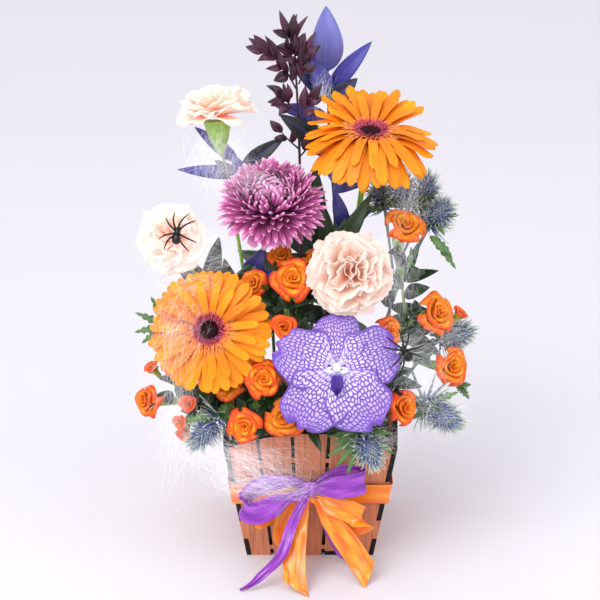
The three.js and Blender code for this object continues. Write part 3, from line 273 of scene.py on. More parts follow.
def petal_tissue(name, stops, ribs, rib_depth, roughness=0.5, glow=0.2, streak=0.3, shift=0.0, lit=0.0):
    """Fresh petal tissue: thin, a little waxy and lit through, shaded from foot to rim, with
    lengthwise veins. The colours run along the petal's own UV map, and its "tint" attribute
    makes one petal a little deeper than the next. A pale petal also passes light on to the
    next, which the emission `lit` stands for."""
    petal = Wiring(name, Roughness=roughness, Specular_IOR_Level=0.3, Subsurface_Weight=glow,
                   Subsurface_Scale=0.004, Emission_Strength=lit)
    uv = petal.place("UV")
    mottle = petal.noise(petal.mapped(uv, ribs, 2.5, 1), detail=3.0)
    tint = petal.tint()
    drift = petal.calc("MULTIPLY_ADD", mottle, streak, -0.5 * streak)
    shifted = petal.calc("MULTIPLY_ADD", tint, shift, drift)
    shades = petal.ramp(petal.calc("ADD", petal.parts(uv)["Y"], shifted), *stops)
    tinted = petal.add("ShaderNodeHueSaturation", inputs={
        "Value": petal.calc("MULTIPLY_ADD", tint, 0.4, 0.8), "Color": shades}).outputs[0]
    if lit:
        petal.finished(Emission_Color=tinted)
    return petal.finished(Base_Color=tinted, Normal=petal.bump(mottle, 0.5, rib_depth))


def netted_petal(settings):
    """Vanda petal: waxy, violet, with a raised net of darker veins round pale cells of 3 to 4 mm
    that grow paler towards the throat; the margin stays plain violet."""
    petal = Wiring("vanda_petal", Roughness=0.42, Sheen_Weight=0.1, Subsurface_Weight=0.12,
                   Subsurface_Scale=0.003)
    uv = petal.place("UV")
    unrest = petal.add("ShaderNodeTexNoise", {"noise_dimensions": "2D"}, {
        "Vector": uv, "Scale": 7.0, "Detail": 3.0}).outputs["Color"]
    pulled = petal.add("ShaderNodeVectorMath", {"operation": "MULTIPLY_ADD"}, {
        0: unrest, 1: (0.05, 0.06, 0), 2: uv}).outputs[0]
    veins = petal.add("ShaderNodeTexVoronoi", {
        "feature": "DISTANCE_TO_EDGE", "voronoi_dimensions": "2D"}, {
        "Vector": petal.mapped(pulled, 17, 13, 1), "Scale": 1.0, "Randomness": 0.62}).outputs["Distance"]
    cells = petal.span(veins, 0.06, 0.3, "SMOOTHSTEP")
    across, along, _ = petal.parts(uv)
    away = petal.calc("ABSOLUTE", petal.calc("MULTIPLY_ADD", across, 2.0, -1.0))
    inside = petal.calc("MULTIPLY", petal.span(away, 0.96, 0.86), petal.span(along, 0.97, 0.9))
    shown = petal.calc("MULTIPLY", cells, inside)
    pale = petal.ramp(along, (0.0, (0.93, 0.9, 1.0)), (0.4, settings.orchid_net),
                      (0.95, linear("#aa92da")))
    deep = petal.ramp(along, (0.0, linear("#d9cdf6")), (0.16, scaled(settings.orchid, 1.5)),
                      (0.45, settings.orchid), (1.0, scaled(settings.orchid, 1.15)))
    return petal.finished(Base_Color=petal.mix(shown, deep, pale),
                          Normal=petal.bump(shown, 0.35, 0.0005, invert=True))


def leaf_tissue(name, shade, gloss, vein_rows=9, shaded=None, lit=None):
    """Leathery leaf: waxy upper face, a paler midrib and fine parallel veins along it. The
    "tint" attribute takes a leaf from its shaded colour to its full one."""
    leaf = Wiring(name, Roughness=gloss, Specular_IOR_Level=0.5, Subsurface_Weight=0.05,
                  Subsurface_Scale=0.002)
    uv = leaf.place("UV")
    veins = leaf.noise(leaf.mapped(uv, vein_rows, 1.5, 1), detail=4.0)
    off_rib = leaf.calc("ABSOLUTE", leaf.calc("SUBTRACT", leaf.parts(uv)["X"], 0.5))
    rib = leaf.calc("MULTIPLY", leaf.span(off_rib, 0.035, 0.01), 0.5)
    body = leaf.ramp(leaf.tint(), (0.05, shaded or scaled(shade, 0.45)), (0.55, shade),
                     (1.0, lit or scaled(shade, 1.5)))
    greys = leaf.ramp(veins, (0.3, (0.58, 0.58, 0.6)), (0.7, (1.0, 1.0, 1.0)))
    veined = leaf.mix(1.0, body, greys, "MULTIPLY")
    return leaf.finished(Base_Color=leaf.mix(rib, veined, (*scaled(shade, 1.7), 1)),
                         Normal=leaf.bump(veins, 0.4, 0.0003))


def green_stem(name, shade):
    """Fresh stem: waxy skin, paler and darker by turns along its length."""
    stem = Wiring(name, Roughness=0.5, Subsurface_Weight=0.08, Subsurface_Scale=0.002)
    streaks = stem.noise(stem.mapped(stem.place("Object"), 700, 700, 40))
    return stem.finished(Base_Color=stem.ramp(
        streaks, (0.3, scaled(shade, 0.6)), (0.7, scaled(shade, 1.2))))


def moulded_plastic(name, shade):
    """Injection-moulded polyethylene: black, semi-gloss, with a faint grain of the mould."""
    plastic = Wiring(name, Roughness=0.32, Specular_IOR_Level=0.5, Base_Color=(*shade, 1))
    grain = plastic.noise(plastic.place("Object"), 1500.0)
    return plastic.finished(Normal=plastic.bump(grain, 0.15, 0.0001))


def teased_fibre(shade):
    """Teased polyester fibre: white and lit through from fibre to fibre, which the small
    emission stands for; drawn thicker than the real 20 microns, so it is half see-through."""
    return Wiring("teased_polyester", Roughness=0.85, Alpha=0.5, Emission_Strength=0.55,
                  Base_Color=(*shade, 1), Emission_Color=(*shade, 1)).material


# ---- building blocks ---------------------------------------------------------------
def smooth(share):
    """0 to 1 with soft ends, for a share held between 0 and 1."""
    share = min(1.0, max(0.0, share))
    return share * share * (3 - 2 * share)


def grid(across, along, shape):
    """A grid whose points shape(u, v) places in millimetres: u runs across it from -1 to 1 and
    v along it from 0 to 1. It keeps the grid's UV map."""
    bpy.ops.mesh.primitive_grid_add(x_subdivisions=across, y_subdivisions=along, size=1, calc_uvs=True)
    made = bpy.context.object
    for vertex in made.data.vertices:
        vertex.co = Vector(shape(2 * vertex.co.x, vertex.co.y + 0.5)) * MM
    return made


def paint(piece, *materials):
    piece.data.materials.clear()
    for material in materials:
        piece.data.materials.append(material)
    return piece


def blade(across, along, shape, thickness, *materials):
    """A thin closed blade: a shaped grid, thickened both ways from its middle. A second
    material goes on its back."""
    made = paint(grid(across, along, shape), *materials)
    modifier = made.modifiers.new("thickness", "SOLIDIFY")
    modifier.thickness = thickness
    modifier.offset = 0
    modifier.material_offset = 1 if len(materials) > 1 else 0
    bpy.context.view_layer.objects.active = made
    bpy.ops.object.modifier_apply(modifier=modifier.name)
    return made


def ball(segments, rings, material, shape):
    """A ball whose points shape(x, y, z) places in millimetres, from those of a ball of radius 1."""
    bpy.ops.mesh.primitive_uv_sphere_add(segments=segments, ring_count=rings, radius=MM)
    made = paint(bpy.context.object, material)
    for vertex in made.data.vertices:
        vertex.co = Vector(shape(*(vertex.co / MM))) * MM
    return made


def frustum(sides, low, high, depth, middle, material):
    """A round block: radius `low` below and `high` above, with its middle at height `middle`."""
    bpy.ops.mesh.primitive_cone_add(vertices=sides, radius1=low * MM, radius2=high * MM, depth=depth * MM)
    made = paint(bpy.context.object, material)
    made.data.transform(Matrix.Translation((0, 0, middle * MM)))
    return made


def read_mesh(mesh):
    """A mesh's points, corners, face starts, UVs and material places as arrays."""
    points = np.empty(len(mesh.vertices) * 3)
    mesh.vertices.foreach_get("co", points)
    corners = np.empty(len(mesh.loops), int)
    mesh.loops.foreach_get("vertex_index", corners)
    starts = np.empty(len(mesh.polygons), int)
    mesh.polygons.foreach_get("loop_start", starts)
    slots = np.empty(len(mesh.polygons), int)
    mesh.polygons.foreach_get("material_index", slots)
    uvs = np.zeros(len(mesh.loops) * 2)
    if mesh.uv_layers:
        mesh.uv_layers[0].data.foreach_get("uv", uvs)
    return points.reshape(-1, 3), corners, starts, uvs, slots


def repeat(template, placements):
    """One piece made of copies of a template, each placed by a (matrix, tint) pair. The
    template is removed."""
    points, corners, starts, uvs, slots = read_mesh(template.data)
    turns = [np.array(matrix) for matrix, _ in placements]
    count = len(placements)
    places = np.concatenate([points @ turn[:3, :3].T + turn[:3, 3] for turn in turns])
    shift = np.repeat(np.arange(count) * len(points), len(corners))
    face_shift = np.repeat(np.arange(count) * len(corners), len(starts))
    mesh = bpy.data.meshes.new(template.name)
    mesh.vertices.add(len(places))
    mesh.vertices.foreach_set("co", places.ravel())
    mesh.loops.add(len(corners) * count)
    mesh.loops.foreach_set("vertex_index", np.tile(corners, count) + shift)
    mesh.polygons.add(len(starts) * count)
    mesh.polygons.foreach_set("loop_start", np.tile(starts, count) + face_shift)
    mesh.polygons.foreach_set("material_index", np.tile(slots, count))
    mesh.uv_layers.new(name="UVMap")
    mesh.uv_layers[0].data.foreach_set("uv", np.tile(uvs, count))
    shades = mesh.attributes.new("tint", "FLOAT", "POINT")
    shades.data.foreach_set("value", np.repeat([tint for _, tint in placements], len(points)))
    for material in template.data.materials:
        mesh.materials.append(material)
    mesh.update()
    mesh.validate()
    made = bpy.data.objects.new(template.name, mesh)
    bpy.context.scene.collection.objects.link(made)
    bpy.data.objects.remove(template)
    return made


def joined(parts):
    """Joins parts into one piece."""
    bpy.ops.object.select_all(action="DESELECT")
    for part in parts:
        part.select_set(True)
        if "tint" not in part.data.attributes:
            shades = part.data.attributes.new("tint", "FLOAT", "POINT")
            shades.data.foreach_set("value", [0.5] * len(part.data.vertices))
    bpy.context.view_layer.objects.active = parts[0]
    if len(parts) > 1:
        bpy.ops.object.join()
    return parts[0]


def finish_piece(parts, name, nodes, matrix=None):
    """Joins parts into a named piece, smooths it, sets it on the frame and hides the CAD nodes
    that it stands for."""
    piece = joined(parts)
    if matrix is not None:
        piece.data.transform(matrix)
    piece.name = name
    piece.data.name = name
    piece.data.shade_smooth()
    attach(piece, "root")
    if nodes:
        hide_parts(*nodes)
    return piece


def finish_stalk(name, stalk, material):
    finish_piece([paint(stalk, material)], name + "_stalk", [name + "_stem"])


def finish_sheet(strips, material, name):
    """Joins the strips of one ribbon into one piece. Each strip comes with its length and mean
    width, which are not used."""
    parts = [paint(strip, material) for strip, _, _ in strips]
    piece = finish_piece(parts, name + "_satin", [name])


def facing(place, toward, spin=0.0):
    """Turns local +Z to the way a bloom faces, spins it, and puts it in its place."""
    turn = Vector((0, 0, 1)).rotation_difference(Vector(toward).normalized())
    return (Matrix.Translation(Vector(place) * MM) @ turn.to_matrix().to_4x4()
            @ Matrix.Rotation(spin, 4, "Z"))


def at_ring(turn, radius, height, tilt, roll=0.0, size=1.0):
    """Places a petal that runs along +X on a ring round Z, tilted up from its foot."""
    return (Matrix.Rotation(turn, 4, "Z") @ Matrix.Translation(Vector((radius, 0, height)) * MM)
            @ Matrix.Rotation(-tilt, 4, "Y") @ Matrix.Rotation(roll, 4, "X") @ Matrix.Scale(size, 4))


def route_point(points, share):
    """The point at a share of a smooth line through points, measured along its chords."""
    spans = [max((b - a).length, 1e-9) for a, b in zip(points, points[1:])]
    left = share * sum(spans)
    i = 0
    while i < len(spans) - 1 and left > spans[i]:
        left -= spans[i]
        i += 1
    t = min(1.0, left / spans[i])
    a, b = points[i], points[i + 1]
    before = points[i - 1] if i else a * 2 - b
    after = points[i + 2] if i + 2 < len(points) else b * 2 - a
    slope_a = (b - before) * (spans[i] / (spans[i] + (spans[i - 1] if i else spans[i])))
    slope_b = (after - a) * (spans[i] / (spans[i] + (spans[i + 1] if i + 1 < len(spans) else spans[i])))
    t2, t3 = t * t, t * t * t
    return (a * (2 * t3 - 3 * t2 + 1) + slope_a * (t3 - 2 * t2 + t)
            + b * (3 * t2 - 2 * t3) + slope_b * (t3 - t2))


def tubes(routes, sides=2):
    """Smooth round stems, fibres or legs: each route is (points in mm, radii in mm, samples)."""
    curve = bpy.data.curves.new("tubes", "CURVE")
    curve.dimensions = "3D"
    curve.bevel_depth = MM
    curve.bevel_resolution = sides
    curve.use_fill_caps = True
    for points, radii, samples in routes:
        line = [Vector(p) for p in points]
        sizes = [Vector((r, 0, 0)) for r in radii]
        spline = curve.splines.new("POLY")
        spline.points.add(samples - 1)
        for i, point in enumerate(spline.points):
            share = i / (samples - 1)
            point.co = (*(route_point(line, share) * MM), 1)
            step = share * (len(sizes) - 1)
            low = min(int(step), len(sizes) - 2)
            point.radius = sizes[low].lerp(sizes[low + 1], step - low).x
    made = bpy.data.objects.new("tubes", curve)
    bpy.context.scene.collection.objects.link(made)
    bpy.ops.object.select_all(action="DESELECT")
    made.select_set(True)
    bpy.context.view_layer.objects.active = made
    bpy.ops.object.convert(target="MESH")
    return bpy.context.object


# ---- measures of the arrangement, in millimetres ------------------------------------
LEAN = math.atan(18 / 113)  # how far each side of the basket leans out
BASE_HALF = 56
FOAM_TOP = 110
LEAST_HEIGHT = 0.5  # of a ribbon that reaches the floor
STEM_CUP = 0.35  # play between a stem's cup and its bloom
# How far below its petals' plane the flat foot of a bloom lies; a share of the radius for the last two.
GERBERA_SEAT = 6
CHRYSANTHEMUM_SEAT = 24
CARNATION_SEAT = 0.28
ROSE_SEAT = 0.5
DRAWN_GERBERA = 56  # radius that the gerberas' measures are given for
DRAWN_ROSE = 18  # the same for the roses
DRAWN_LEAF = (100, 24)  # length and width of the leaf that all leaves are scaled from
EDGE_ON = 0.45  # sine of the angle past which a gerbera's ray is at its front or its rear
ROSE_PETAL = 17  # size of the petals of the drawn rose
SENSOR_WIDTH = 36
PHOTO_PIXELS = 600  # width of the photo's frame
PHOTO_FOCAL_PIXELS = 1543  # focal length on that frame

# Single blooms: name, place, way it faces, radius, how far a gerbera's rays droop, foot of the
# stem in the foam, points of the stem. The orchid has no name and no radius.
GERBERAS = [
    ("gerbera_top", (49, -20, 373), (0.04, -0.27, 0.963), 57, 10.5, (30, 6), [(36, 4, 250), (46, -8, 345)]),
    ("gerbera_left", (-83, -76, 223), (-0.07, -0.84, 0.52), 53, 5, (-44, -24),
     [(-52, -30, 150), (-70, -48, 202)]),
]
CHRYSANTHEMUM = ("chrysanthemum", (-32, -42, 325), (0, -0.6, 0.8), 42, (-18, 2),
                 [(-20, 2, 200), (-28, -8, 282)])
CARNATIONS = [
    ("carnation_top_left", (-79, 12, 383), (-0.1, 0.1, 0.98), 33, (-44, 12),
     [(-58, 14, 240), (-74, 14, 345)]),
    ("carnation_left", (-116, -26, 287), (-0.3, -0.85, 0.42), 29, (-56, 2),
     [(-80, 4, 200), (-107, -4, 265)]),
    ("carnation_middle", (32, -68, 271), (0.1, -0.92, 0.38), 34, (12, -14),
     [(14, -18, 190), (26, -40, 256)]),
]
ORCHID = ((21, -97, 198), (0, -0.95, 0.31), (14, -44), [(16, -62, 160), (20, -82, 190)])
# Its tepals: degrees from its right, length, width.
ORCHID_TEPALS = [(90, 45, 38), (20, 52, 42), (160, 52, 42), (-56, 57, 46), (-124, 57, 46)]
# Roses: place, way it faces, radius.
ROSES = {
    "rose_01": ((77, -38, 299), (0.2, -0.6, 0.77), 18),
    "rose_02": ((-25, -34, 272), (-0.1, -0.6, 0.8), 12.5),
    "rose_03": ((-15, -66, 265), (0, -0.85, 0.5), 17),
    "rose_04": ((2, -42, 271), (0.2, -0.7, 0.7), 11),
    "rose_05": ((-46, -48, 254), (-0.4, -0.8, 0.45), 14),
    "rose_06": ((-39, -86, 184), (0.1, -0.9, 0.4), 15),
    "rose_07": ((-70, -74, 177), (-0.2, -0.75, 0.6), 16),
    "rose_08": ((-137, -50, 148), (-0.7, -0.6, 0.3), 16),
    "rose_09": ((-54, -96, 146), (-0.2, -0.95, 0.25), 14),
    "rose_10": ((-22, -93, 152), (-0.1, -0.9, 0.4), 17),
    "rose_11": ((64, -66, 219), (0.5, -0.8, 0.35), 13),
    "rose_12": ((103, -45, 226), (0.6, -0.6, 0.5), 18),
    "rose_13": ((118, -50, 180), (0.4, -0.82, 0.35), 17),
    "rose_14": ((75, -82, 157), (0.6, -0.72, 0.3), 17),
}
# Sprays of roses: name, foot, points of the trunk, its roses, its buds.
ROSE_SPRAYS = [
    ("rose_spray_middle", (-6, -26), [(-8, -34, 190), (-14, -38, 236)],
     ["rose_02", "rose_03", "rose_04", "rose_05"], [((-21, -74, 226), (-0.1, -0.95, 0.3), 9)]),
    ("rose_spray_front", (-30, -46), [(-34, -52, 132), (-38, -56, 146)],
     ["rose_06", "rose_07", "rose_09", "rose_10"], []),
    ("rose_spray_right", (56, -12), [(72, -18, 180), (82, -22, 215)],
     ["rose_01", "rose_12", "rose_13"], [((125, -28, 216), (0.6, -0.2, 0.8), 6)]),
    ("rose_spray_low_right", (42, -44), [(48, -50, 140), (52, -52, 160)], ["rose_11", "rose_14"], []),
    ("rose_spray_left", (-60, -14), [(-76, -30, 138), (-92, -44, 146)], ["rose_08"],
     [((-102, -68, 152), (-0.2, -0.8, 0.5), 6.5), ((-107, -72, 139), (-0.5, -0.8, 0.1), 6),
      ((-106, -66, 127), (-0.2, -0.9, -0.3), 6), ((-117, -53, 174), (-0.1, -0.5, 0.9), 7),
      ((-133, -42, 172), (-0.5, -0.3, 0.8), 6)]),
]
# Sprays of sea holly: name, foot, points of the trunk, heads as (place, way, radius, height).
SEA_HOLLIES = [
    ("sea_holly_top", (60, 20), [(72, 14, 220), (80, 8, 270)], [
        ((78, 2, 320), (-0.25, -0.1, 0.95), 7.5, 34), ((98, 8, 315), (0.1, -0.1, 1), 7.5, 26),
        ((108, -7, 301), (0.5, -0.3, 0.8), 8, 24), ((61, 16, 309), (-0.3, 0, 0.95), 6, 20)]),
    ("sea_holly_right", (62, 2), [(86, -2, 150), (100, -8, 174)], [
        ((124, -22, 197), (0.7, -0.3, 0.4), 9, 26), ((111, -62, 141), (0.7, -0.5, -0.3), 10, 32)]),
    ("sea_holly_rim", (30, -52), [(36, -70, 136), (40, -84, 139)], [
        ((48, -98, 128), (0.3, -0.6, -0.6), 9, 28)]),
    ("sea_holly_left", (-58, -40), [(-70, -58, 138), (-76, -66, 143)], [
        ((-87, -84, 137), (-0.6, -0.4, -0.6), 8.5, 30)]),
]
# Narrow cut leaves away from the heads: where the twig ends and the leaves' tips.
SEA_HOLLY_SPRIGS = {
    "sea_holly_left": [((-122, -50, 216), [(-148, -52, 212), (-147, -50, 229), (-134, -46, 242),
                                           (-116, -50, 238), (-142, -54, 203), (-126, -58, 200)])],
    "sea_holly_rim": [((42, -90, 135), [(14, -102, 121), (21, -104, 112), (30, -105, 105), (17, -99, 131),
                                        (70, -96, 120)])],
    "sea_holly_right": [((128, -24, 150), [(140, -26, 152), (138, -34, 142), (132, -20, 164)])],
    "sea_holly_top": [((100, -30, 290), [(122, -34, 262), (118, -36, 274), (110, -44, 280)]),
                      ((82, -30, 250), [(84, -34, 282), (96, -36, 262)])],
}
# Leafy stems: name, look, foot, radius, route, leaves as (share of the route, tip, width, tint).
FOLIAGE = [
    ("ruscus_top", "ruscus", (22, 32), 1.5, [(22, 44, 280), (17, 46, 350), (15, 45, 400), (14, 43, 425)],
     [(0.965, (13, 42, 469), 27, 0.95), (0.91, (52, 43, 439), 15, 0.55), (0.9, (-1, 36, 428), 17, 0.7),
      (0.88, (-23, 34, 430), 10, 0.25), (0.87, (40, 40, 408), 18, 0.12), (0.84, (-31, 32, 386), 14, 0.6),
      (0.75, (-26, 10, 384), 22, 0.02), (0.66, (44, 22, 318), 15, 0.45), (0.71, (20, 14, 322), 14, 0.65)]),
    ("ruscus_left", "ruscus", (-30, 30), 1.4, [(-38, 28, 240), (-52, 24, 310), (-62, 20, 340)],
     [(1, (-98, 15, 372), 12, 0.6), (0.95, (-113, 10, 336), 12, 0.5), (0.9, (-81, 8, 345), 16, 0.08),
      (0.97, (-22, 18, 362), 14, 0.04), (0.78, (-46, -14, 276), 18, 0.5), (0.93, (-66, 4, 352), 13, 0.75)]),
    ("greens_front", "green", (-4, -50), 1.4, [(-4, -58, 128), (-2, -66, 136)],
     [(1, (9, -92, 120), 9, 0.6), (0.95, (-32, -84, 130), 10, 0.4), (0.8, (30, -78, 150), 12, 0.5),
      (0.75, (-24, -72, 176), 14, 0.2)]),
    ("greens_right", "green", (46, 34), 1.4, [(64, 26, 180), (80, 16, 235)],
     [(1, (110, -10, 252), 11, 0.5), (0.95, (96, 20, 269), 10, 0.3), (0.8, (112, 4, 206), 12, 0.4),
      (0.7, (118, 20, 160), 16, 0.3), (0.8, (54, -10, 250), 12, 0.15)]),
    ("greens_left", "green", (-58, 28), 1.4, [(-78, 26, 170), (-92, 22, 225)],
     [(1, (-120, 18, 258), 18, 0.4), (0.95, (-80, 34, 268), 16, 0.3), (0.8, (-136, 10, 210), 18, 0.4),
      (0.65, (-128, 20, 164), 18, 0.3), (0.75, (-60, 8, 230), 16, 0.2)]),
    ("greens_back", "green", (0, 54), 1.6, [(2, 64, 170), (2, 66, 250)],
     [(1, (4, 58, 328), 24, 0.4), (0.93, (-46, 62, 300), 22, 0.3), (0.86, (50, 62, 286), 22, 0.35),
      (0.76, (-66, 76, 240), 24, 0.4), (0.66, (68, 78, 216), 24, 0.5), (0.55, (-58, 94, 180), 24, 0.4),
      (0.45, (54, 92, 158), 24, 0.5), (0.36, (-10, 108, 150), 24, 0.3)]),
]
# Side stems of the leafy stems: route, then leaves as above.
SIDE_STEMS = {
    "ruscus_top": [([(30, 4, 100), (30, -2, 220), (30, -6, 292)],
                    [(1, (52, -14, 308), 10, 0.15), (0.96, (20, 2, 321), 13, 0.5)])],
    "ruscus_left": [([(-44, -4, 100), (-50, -14, 200), (-52, -22, 250)],
                     [(1, (-38, -32, 281), 18, 0.3), (0.95, (-28, -34, 262), 15, 0.55)])],
    "greens_front": [
        ([(10, -18, 100), (14, -18, 200), (16, -16, 262)],
         [(1, (12, -18, 312), 15, 0.35), (0.97, (52, -10, 322), 15, 0.5), (0.93, (-16, -34, 276), 19, 0.2),
          (0.9, (40, -24, 292), 15, 0.6), (0.84, (-12, -30, 246), 16, 0.25), (0.8, (44, -30, 262), 16, 0.3),
          (0.7, (-18, -40, 226), 16, 0.2), (0.66, (38, -44, 232), 16, 0.25),
          (0.98, (30, -16, 302), 12, 0.75)]),
        ([(-52, -14, 100), (-62, -22, 190), (-66, -26, 238)],
         [(1, (-72, -42, 274), 15, 0.45), (0.97, (-44, -32, 270), 18, 0.55), (0.93, (-88, -34, 262), 14, 0.3),
          (0.9, (-46, -38, 250), 16, 0.2), (0.86, (-58, -40, 222), 15, 0.3),
          (0.95, (-92, -40, 244), 12, 0.35)]),
        ([(-20, -40, 104), (-16, -56, 160), (-12, -60, 196)],
         [(1, (-28, -72, 212), 14, 0.25), (0.97, (6, -74, 214), 13, 0.3), (0.9, (-34, -74, 190), 14, 0.15),
          (0.85, (12, -70, 190), 13, 0.2), (0.94, (-4, -64, 232), 13, 0.4)]),
        ([(50, -40, 104), (60, -54, 150), (66, -60, 180)],
         [(1, (86, -76, 188), 10, 0.5), (0.96, (56, -78, 196), 11, 0.3), (0.9, (94, -66, 168), 11, 0.4),
          (0.86, (60, -84, 168), 10, 0.3), (0.8, (92, -72, 150), 10, 0.45),
          (0.98, (80, -66, 204), 10, 0.6)])],
}
# Burgundy twigs: points, then leaflets as (share of the twig, tip).
BURGUNDY_TWIGS = [
    ([(-12, 17, 412), (-13, 17, 430), (-16, 17, 448), (-20, 17, 458)],
     [(0.98, (-26, 17, 470)), (0.85, (-31, 16, 453)), (0.72, (-9, 16, 466)), (0.6, (-28, 15, 441)),
      (0.5, (-5, 15, 452)), (0.4, (-24, 13, 432)), (0.85, (-14, 13, 468)), (0.3, (-2, 14, 438)),
      (0.55, (-18, 12, 452))]),
    ([(-12, 17, 404), (-22, 15, 422), (-34, 13, 436), (-42, 12, 440)],
     [(1, (-54, 11, 441)), (0.9, (-50, 11, 448)), (0.82, (-46, 10, 429)), (0.68, (-38, 12, 450)),
      (0.55, (-38, 11, 422)), (0.42, (-27, 13, 440)), (0.35, (-31, 12, 412)), (0.2, (-16, 13, 430)),
      (0.95, (-44, 12, 452))]),
    ([(-12, 17, 384), (-20, 15, 394), (-28, 14, 401)],
     [(1, (-37, 13, 408)), (0.8, (-36, 12, 394)), (0.6, (-22, 12, 410)), (0.4, (-26, 11, 384)),
      (0.95, (-31, 12, 391))]),
    ([(-10, 18, 408), (-4, 16, 424), (-1, 15, 436)],
     [(1, (3, 14, 452)), (0.8, (7, 13, 442)), (0.6, (-6, 13, 446)), (0.45, (5, 13, 428)),
      (0.3, (-9, 12, 430))]),
    ([(-11, 17, 378), (-3, 15, 390), (2, 14, 398)],
     [(1, (9, 12, 410)), (0.8, (10, 12, 398)), (0.6, (-4, 12, 408)), (0.4, (6, 12, 386))]),
    ([(-10, 18, 352), (-20, 15, 362), (-26, 13, 370)],
     [(1, (-34, 12, 378)), (0.7, (-30, 12, 362)), (0.4, (-15, 12, 374))]),
    ([(-10, 18, 344), (-2, 15, 354), (4, 13, 362)],
     [(1, (12, 11, 370)), (0.7, (9, 12, 358)), (0.5, (-3, 12, 366))]),
]
# The burgundy spray's foot and the points of its stem.
BURGUNDY = ((-8, 26), [(-8, 22, 280), (-10, 18, 370), (-12, 17, 412)])
# Spiders: name, place, way the back faces, turn.
SPIDERS = [
    ("spider_left", (-109, -50, 298), (-0.3, -0.85, 0.42), -0.33),
    ("spider_right", (76, -98, 214), (0.1, -0.95, 0.31), 0.65),
]
UPRIGHT = (0, 0, 1)
FULL = (0, 0.3, 1)  # way across a strand that shows its full width from the front
BACK = (0, -0.1, 1)
# Clouds of teased fibre: centre, spread, main way of the fibres, their length, pairs of them.
WEB_LEFT = [
    ((-41, -82, 99), (34, 14, 26), (1, 0, -0.6), 34, 260), ((-36, -92, 86), (36, 8, 9), (1, 0, 0.1), 34, 120),
    ((-10, -88, 79), (14, 4, 3), (1, 0, 0.25), 20, 14),
    ((-112, -78, 150), (14, 16, 60), (0.2, 0, 1), 40, 190),
    ((-109, -90, 222), (20, 10, 44), (0.35, 0, 1), 36, 150),
    ((-92, -46, 276), (30, 10, 26), (1, 0, 0.5), 34, 170),
    ((-92, -62, 256), (26, 10, 10), (1, 0, 0.1), 28, 90),
    ((-74, -8, 350), (24, 14, 26), (0.5, 0, 1), 36, 150),
    ((-48, -66, 350), (28, 16, 12), (1, 0, -0.5), 30, 80), ((10, 22, 398), (8, 8, 14), (0.3, 0, 1), 20, 70),
    ((-90, -84, 120), (16, 12, 16), (0.6, 0, -1), 34, 110),
    ((-60, -84, 112), (22, 10, 16), (1, 0, -0.5), 30, 130),
    ((-86, -20, 350), (18, 14, 20), (0.1, 0, 1), 34, 60),
    ((-66, -82, 90), (18, 10, 12), (1, 0, -0.8), 32, 70),
]
WEB_RIGHT = [
    ((71, -58, 258), (14, 14, 34), (0.1, 0, 1), 32, 120),
    ((83, -84, 203), (22, 10, 26), (1, 0, 0.6), 26, 140),
    ((108, -66, 146), (26, 18, 26), (1, 0, -0.2), 26, 120),
    ((116, -42, 206), (20, 16, 16), (1, 0, 0.3), 24, 70),
    ((74, -36, 290), (14, 14, 22), (0.1, 0, 1), 28, 110), ((84, -22, 318), (12, 10, 24), (0.2, 0, 1), 34, 60),
    ((92, -70, 172), (18, 12, 20), (0.6, 0, 1), 26, 110),
    ((60, -88, 130), (20, 10, 12), (1, 0, -0.4), 24, 60),
]
# Ribbon strands: slant of the cut end, then (place, way across, width) stations.
PURPLE_LOOPS = [
    (0, [((0, -77, 77), UPRIGHT, 7), ((12, -86, 82), UPRIGHT, 13), ((26, -93, 87), FULL, 19),
         ((38, -96, 91), FULL, 20), ((45, -91, 92), FULL, 20), ((43, -84, 93), BACK, 20),
         ((32, -79, 93), BACK, 18), ((17, -76, 87), BACK, 12), ((1, -75, 79), UPRIGHT, 7)]),
    (0, [((-3, -76, 79), UPRIGHT, 7), ((-17, -79, 85), BACK, 12), ((-34, -81, 84), BACK, 17),
         ((-50, -84, 78), BACK, 19), ((-57, -88, 71), UPRIGHT, 20), ((-55, -93, 65), FULL, 20),
         ((-45, -95, 64), FULL, 20), ((-30, -93, 70), FULL, 18), ((-16, -86, 74), UPRIGHT, 12),
         ((-3, -78, 76), UPRIGHT, 7)]),
    (0, [((-3, -80, 73), (0.8, 0, -0.6), 6), ((-9, -87, 65), (0.85, 0, -0.5), 8),
         ((-17, -98, 50), (0.9, -0.2, -0.4), 9.5), ((-23, -106, 34), (0.9, -0.2, -0.4), 9.5),
         ((-30, -110, 24), (0.8, -0.1, -0.6), 9), ((-41, -113, 14), (0.67, 0, -0.74), 7.5),
         ((-52, -115, 5.4), (0.6, 0, -0.8), 5), ((-60, -116, 1.6), (0.5, 0, -0.85), 1)]),
]
